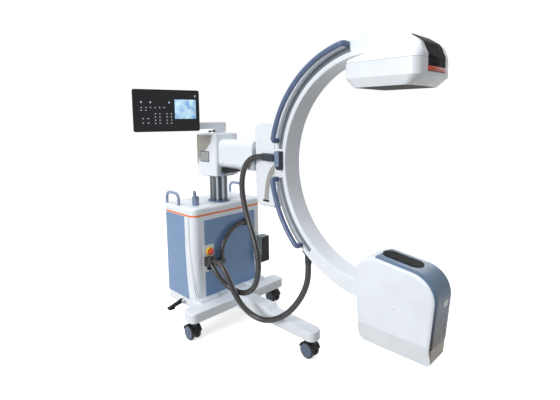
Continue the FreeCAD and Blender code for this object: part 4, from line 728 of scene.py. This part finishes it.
def laid_strip(name, node, marks, widths, height, key, body):
    """A low rounded bead along marks that are cast from the near side onto a node."""
    tree = surface(node)
    marks = [Vector(mark) for mark in marks]
    hits = []
    for index in range(len(marks) - 1):
        last = index == len(marks) - 2
        for step in range(STRIP_STEPS + (1 if last else 0)):
            part = step / STRIP_STEPS
            width = widths[index] + (widths[index + 1] - widths[index]) * part
            start = between(marks, index, part) - AWAY * CAST_START
            place, normal, _, _ = tree.ray_cast(start, AWAY)
            if place is not None:
                hits.append((place, normal, width))
    section = ((-0.5, -SUNK), (-0.5, 0.25 * height), (-0.3, 0.8 * height), (0.0, height),
               (0.3, 0.8 * height), (0.5, 0.25 * height), (0.5, -SUNK))
    shape = bmesh.new()
    rows = []
    for i, (place, normal, width) in enumerate(hits):
        ahead = hits[min(i + 1, len(hits) - 1)][0] - hits[max(i - 1, 0)][0]
        side = ahead.cross(normal).normalized()
        rows.append([shape.verts.new(place + side * width * across + normal * lift)
                     for across, lift in section])
    loft(shape, rows)
    from_bmesh(name, shape, key, body, 50.0)


# Pale bead down the near front corner, between two shadow lines
POST_LINE = [(0.067, -0.31, 0.792), (0.068, -0.31, 0.740), (0.067, -0.31, 0.624),
             (0.075, -0.31, 0.530), (0.086, -0.31, 0.440), (0.099, -0.31, 0.340),
             (0.110, -0.31, 0.262), (0.114, -0.31, 0.232)]
POST_WIDTHS = [0.004, 0.005, 0.007, 0.009, 0.010, 0.010, 0.008, 0.006]
LINE_SHIFT = 0.0052
LINE_WIDTHS = [0.0020, 0.0022, 0.0026, 0.0030, 0.0032, 0.0030, 0.0028, 0.0024]


def corner_line(label, side, key):
    shift = Vector((side * LINE_SHIFT, 0, 0))
    laid_strip("corner_line_" + label, "cabinet_shell", [Vector(m) + shift for m in POST_LINE],
               LINE_WIDTHS, 0.0013, key, "stand")


laid_strip("corner_bead", "cabinet_shell", POST_LINE, POST_WIDTHS, 0.0030, "white", "stand")
corner_line("left", -1, "seam")
corner_line("right", 1, "seam_pale")


# Painted gap shadow: dark strips on the carriage where the C meets it
GAP_SHADOW_RADIUS = C_OUTER + 0.0135
GAP_SHADOW_MARKS = 5


def gap_shadow_strip(name, low, high):
    marks = []
    for i in range(GAP_SHADOW_MARKS):
        level = low + (high - low) * i / (GAP_SHADOW_MARKS - 1)
        reach = math.sqrt(GAP_SHADOW_RADIUS ** 2 - (level - C_CENTRE.z) ** 2)
        marks.append((C_CENTRE.x - reach, -0.06, level))
    laid_strip(name, "carriage_shell", marks, [0.003] * GAP_SHADOW_MARKS, 0.0012, "seam", "carriage")


gap_shadow_strip("gap_shadow_upper", 1.268, 1.352)
gap_shadow_strip("gap_shadow_lower", 1.046, 1.146)


# Small fasteners
FLANGE_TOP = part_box("column_flange")[1][2]
PLATE_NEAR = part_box("cable_plate")[0][1]
ARM_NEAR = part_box("arm_housing")[0][1]
CARRIAGE_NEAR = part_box("carriage_shell")[0][1]
TUBE_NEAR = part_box("tube_housing")[0][1]
COVER_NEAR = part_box("base_cover")[0][1]
FLANGE_SCREWS = [(x, y, FLANGE_TOP) for y in (-0.045, 0.045) for x in (-0.064, 0.064)]
PLATE_SCREWS = [(0.711, PLATE_NEAR, z) for z in (1.181, 1.253)]
ARM_SCREWS = [(x, ARM_NEAR, z) for x, z in ((0.156, 1.150), (0.290, 1.150), (0.426, 1.152))]
CARRIAGE_SCREWS = [(x, CARRIAGE_NEAR, z)
                   for x, z in ((0.577, 1.415), (0.612, 1.412), (0.490, 1.060))]


def screw(name, spot, normal, radius, key, body):
    profile = [(0, -0.0006), (radius, -0.0006), (radius, 0.0003), (radius * 0.82, 0.0010),
               (radius * 0.45, 0.0011), (radius * 0.36, 0.0003), (0, 0.0002)]
    from_bmesh(name, set_at(turned_shape(profile, 20), Vector(spot), normal), key, body)


def screws(label, spots, normal, radius, key, body):
    for index, spot in enumerate(spots):
        screw("%s_%d" % (label, index + 1), spot, normal, radius, key, body)


def pedal_bolt():
    profile = [(0, -0.001), (0.011, -0.001), (0.011, 0.0012), (0.0078, 0.0020),
               (0.0078, 0.0044), (0.0062, 0.0050), (0, 0.0050)]
    bolt = set_at(turned_shape(profile, 24), Vector((-0.006, COVER_NEAR, 0.182)), NEAR)
    from_bmesh("pedal_bolt", bolt, "steel", "stand")


screws("flange_screw", FLANGE_SCREWS, UP, 0.0042, "steel", "stand")
screws("plate_screw", PLATE_SCREWS, NEAR, 0.0034, "steel", "carriage")
screws("arm_screw", ARM_SCREWS, NEAR, 0.0030, "seam", "cross_arm")
screws("carriage_screw", CARRIAGE_SCREWS, NEAR, 0.0030, "seam", "carriage")
screw("tube_dimple", (1.496, TUBE_NEAR, 0.542), NEAR, 0.0026, "seam", "c_arm")
pedal_bolt()


# Grey strip down the near side of the carriage, with a dark cap at its lower end
SIDE_STRIP_EDGES = (((0.637, 1.172), (0.652, 1.147)), ((0.611, 1.146), (0.638, 1.120)),
               ((0.591, 1.116), (0.623, 1.088)), ((0.573, 1.066), (0.607, 1.052)),
               ((0.561, 1.012), (0.597, 1.012)), ((0.556, 0.980), (0.593, 0.980)),
               ((0.553, 0.947), (0.590, 0.947)))
SIDE_STRIP_SECTION = ((0.0, -SUNK), (0.0, 0.0022), (0.14, 0.0034), (0.86, 0.0034),
                 (1.0, 0.0022), (1.0, -SUNK))


def carriage_side_strip():
    shape = bmesh.new()
    rows = []
    for (left_x, left_z), (right_x, right_z) in SIDE_STRIP_EDGES:
        left = Vector((left_x, CARRIAGE_NEAR, left_z))
        right = Vector((right_x, CARRIAGE_NEAR, right_z))
        rows.append([shape.verts.new(left.lerp(right, part) + NEAR * lift)
                     for part, lift in SIDE_STRIP_SECTION])
    loft(shape, rows)
    from_bmesh("carriage_side_strip", shape, "side_strip_grey", "carriage")
    cap = rounded_plate(0.052, 0.012, 0.003, 0.0052, 0.0012)
    set_at(cap, Vector((0.5705, CARRIAGE_NEAR, 0.941)), NEAR)
    from_bmesh("carriage_side_strip_cap", cap, "soft_black", "carriage")


carriage_side_strip()


# Plain screen picture and rows of small marks on the monitor, placed by their part of the
# glass's width and height, from its upper left corner
MARK_ROWS = ((0.42, (0.10, 0.17, 0.24, 0.31, 0.38, 0.45)), (0.49, (0.10, 0.17)),
             (0.70, (0.12, 0.20)), (0.81, (0.12, 0.20)), (0.58, (0.31, 0.38, 0.49, 0.56)),
             (0.66, (0.31, 0.38, 0.49, 0.56)), (0.74, (0.31, 0.38, 0.49, 0.56)),
             (0.82, (0.31, 0.38, 0.49, 0.56)))
DIAMOND_ROW = (0.29, (0.10, 0.24, 0.53))
MARK_SIZE = (0.0085, 0.0060, 0.0005)
DIAMOND_SIZE = (0.0105, 0.0105, 0.0005)
LIGHT_SIZE = (0.0075, 0.013, 0.0008)
PICTURE_SHARE = (0.345, 0.50)
PICTURE_THICK = 0.0006


def screen_face():
    """The glass's normal, its upper left corner, and its full width and height as vectors."""
    data = frame["nodes"]["monitor_glass"].data
    normal = max(data.polygons, key=lambda polygon: polygon.area).normal.copy()
    if normal.y > 0:
        normal.negate()
    across = UP.cross(normal).normalized()
    up = normal.cross(across)
    lefts, heights, levels = ([vertex.co.dot(ray) for vertex in data.vertices]
                              for ray in (across, up, normal))
    corner = across * min(lefts) + up * max(heights) + normal * max(levels)
    return (normal, corner, across * (max(lefts) - min(lefts)),
            up * (min(heights) - max(heights)))


def monitor_face():
    normal, corner, rightward, downward = screen_face()

    def mark(name, u, v, size, key, turned=False):
        width, height, thick = size
        plate = rounded_plate(width, height, min(0.002, height * 0.3), thick, thick * 0.4, 4)
        if turned:
            plate.transform(Matrix.Rotation(math.radians(45), 4, "Z"))
        spot = corner + rightward * u + downward * v
        from_bmesh(name, set_at(plate, spot, normal), key, "screen")

    picture = (rightward.length * PICTURE_SHARE[0], downward.length * PICTURE_SHARE[1],
               PICTURE_THICK)
    mark("screen_picture", 0.79, 0.46, picture, "picture")
    mark("screen_light", 0.955, 0.115, LIGHT_SIZE, "icon")
    for line, (v, columns) in enumerate(MARK_ROWS):
        for place, u in enumerate(columns):
            mark("screen_mark_%d_%d" % (line + 1, place + 1), u, v, MARK_SIZE, "icon")
    v, columns = DIAMOND_ROW
    for place, u in enumerate(columns):
        mark("screen_diamond_%d" % (place + 1), u, v, DIAMOND_SIZE, "icon", turned=True)


monitor_face()


# Blank plate on the tube's band
def band_plate():
    place, normal, _, _ = surface("tube_band").ray_cast(Vector((1.8, 0.018, 0.598)),
                                                        Vector((-1, 0, 0)))
    plate = rounded_plate(0.046, 0.032, 0.004, 0.0005, 0.0001)
    from_bmesh("band_plate", set_at(plate, place - normal * 0.0003, normal), "warm_white",
               "c_arm")


band_plate()


# Small dark swivel lock at the foot of the monitor's bracket
def swivel_lock():
    spot, _, _, _ = surface("monitor_bracket").ray_cast(Vector((-0.006, -0.8, 1.369)), AWAY)
    hub = turned_shape([(0, -0.002), (0.008, -0.002), (0.008, 0.008), (0.006, 0.010),
                        (0, 0.010)], 24)
    from_bmesh("swivel_lock_hub", set_at(hub, spot, NEAR), "soft_black", "screen_bracket")
    grip = turned_shape([(0, 0.0), (0.0040, 0.0), (0.0045, 0.004), (0.0045, 0.022),
                         (0.0070, 0.026), (0.0075, 0.034), (0.0055, 0.038), (0, 0.038)], 24)
    set_at(grip, spot + NEAR * 0.007, (-0.85, -0.5, -0.12))
    from_bmesh("swivel_lock_grip", grip, "soft_black", "screen_bracket")


swivel_lock()


# Stage, light and camera
CAMERA_PLACE = Vector((2.402, -1.773, 1.461))
CAMERA_YAW = 43.2
CAMERA_PITCH = -6.4
CAMERA_ROLL = -0.4
FOCAL_PIXELS = 403.0
IMAGE_WIDTH = 560.0
IMAGE_HEIGHT = 400.0
MIDDLE_X = 291.3
MIDDLE_Y = 162.8
SENSOR = 36.0


def camera():
    yaw = math.radians(CAMERA_YAW)
    pitch = math.radians(CAMERA_PITCH)
    roll = math.radians(CAMERA_ROLL)
    forward = Vector((-math.sin(yaw) * math.cos(pitch), math.cos(yaw) * math.cos(pitch),
                      math.sin(pitch)))
    right = Vector((math.cos(yaw), math.sin(yaw), 0))
    up = right.cross(forward)
    rolled_right = right * math.cos(roll) + up * math.sin(roll)
    rolled_up = up * math.cos(roll) - right * math.sin(roll)
    data = bpy.data.cameras.new("camera")
    thing = bpy.data.objects.new("camera", data)
    bpy.context.collection.objects.link(thing)
    turn = Matrix((rolled_right, rolled_up, -forward)).transposed().to_4x4()
    thing.matrix_world = Matrix.Translation(CAMERA_PLACE) @ turn
    data.sensor_width = SENSOR
    data.lens = FOCAL_PIXELS / IMAGE_WIDTH * SENSOR
    data.shift_x = (IMAGE_WIDTH / 2 - MIDDLE_X) / IMAGE_WIDTH
    data.shift_y = (MIDDLE_Y - IMAGE_HEIGHT / 2) / IMAGE_WIDTH
    data.clip_end = 60
    bpy.context.scene.camera = thing


FLOOR_HALF = 30.0
PURE_WHITE = tone(255, 255, 255)
PURE_BLACK = tone(0, 0, 0)
FLOOR_BOUNCE = tone(132, 129, 124)
FLOOR_SEEN = tone(240, 240, 240)
FLOOR_GLOW = 0.62
WORLD_TINT = tone(252, 252, 255)
WORLD_LEVEL = 0.46


def seen_directly(tree):
    """1 for what the camera or a reflection sees, 0 for light that bounces."""
    path = tree.nodes.new("ShaderNodeLightPath")
    reflected = calculated(tree, "MAXIMUM", path.outputs["Is Glossy Ray"],
                           path.outputs["Is Transmission Ray"])
    return calculated(tree, "MAXIMUM", path.outputs["Is Camera Ray"], reflected)


def floor():
    """A plain pale floor that keeps the shadow and runs to white."""
    mesh = bpy.data.meshes.new("floor")
    corners = [(x * FLOOR_HALF, y * FLOOR_HALF, 0)
               for x, y in ((-1, -1), (1, -1), (1, 1), (-1, 1))]
    mesh.from_pydata(corners, [], [(0, 1, 2, 3)])
    thing = bpy.data.objects.new("floor", mesh)
    bpy.context.collection.objects.link(thing)
    material, tree, shader = new_material("floor")
    seen = seen_directly(tree)
    tree.links.new(mixed(tree, seen, FLOOR_BOUNCE, FLOOR_SEEN), shader.inputs["Base Color"])
    tree.links.new(mixed(tree, seen, PURE_BLACK, PURE_WHITE),
                   shader.inputs["Emission Color"])
    shader.inputs["Emission Strength"].default_value = FLOOR_GLOW
    shader.inputs["Roughness"].default_value = 0.9
    shader.inputs["Specular IOR Level"].default_value = 0.1
    mesh.materials.append(material)


def world():
    scene_world = bpy.data.worlds.new("world")
    bpy.context.scene.world = scene_world
    scene_world.use_nodes = True
    tree = scene_world.node_tree
    background = tree.nodes["Background"]
    tree.links.new(mixed(tree, seen_directly(tree), shade(WORLD_TINT, WORLD_LEVEL),
                         PURE_WHITE), background.inputs["Color"])
    background.inputs["Strength"].default_value = 1.0


LAMP_TARGET = Vector((0.9, 0.0, 0.9))
LAMPS = (
    ("key", (0.5, -6.3, 2.9), 3.4, 275),
    ("above", (-0.4, -0.8, 6.0), 3.5, 95),
    ("far", (0.2, 6.2, 2.7), 3.4, 120),
)


def lamps():
    for name, spot, size, power in LAMPS:
        data = bpy.data.lights.new(name, "AREA")
        data.shape = "DISK"
        data.size = size
        data.energy = power
        thing = bpy.data.objects.new(name, data)
        bpy.context.collection.objects.link(thing)
        thing.location = spot
        thing.rotation_euler = (LAMP_TARGET - Vector(spot)).to_track_quat("-Z", "Y").to_euler()


camera()
floor()
world()
lamps()
bpy.context.scene.view_settings.view_transform = "Standard"
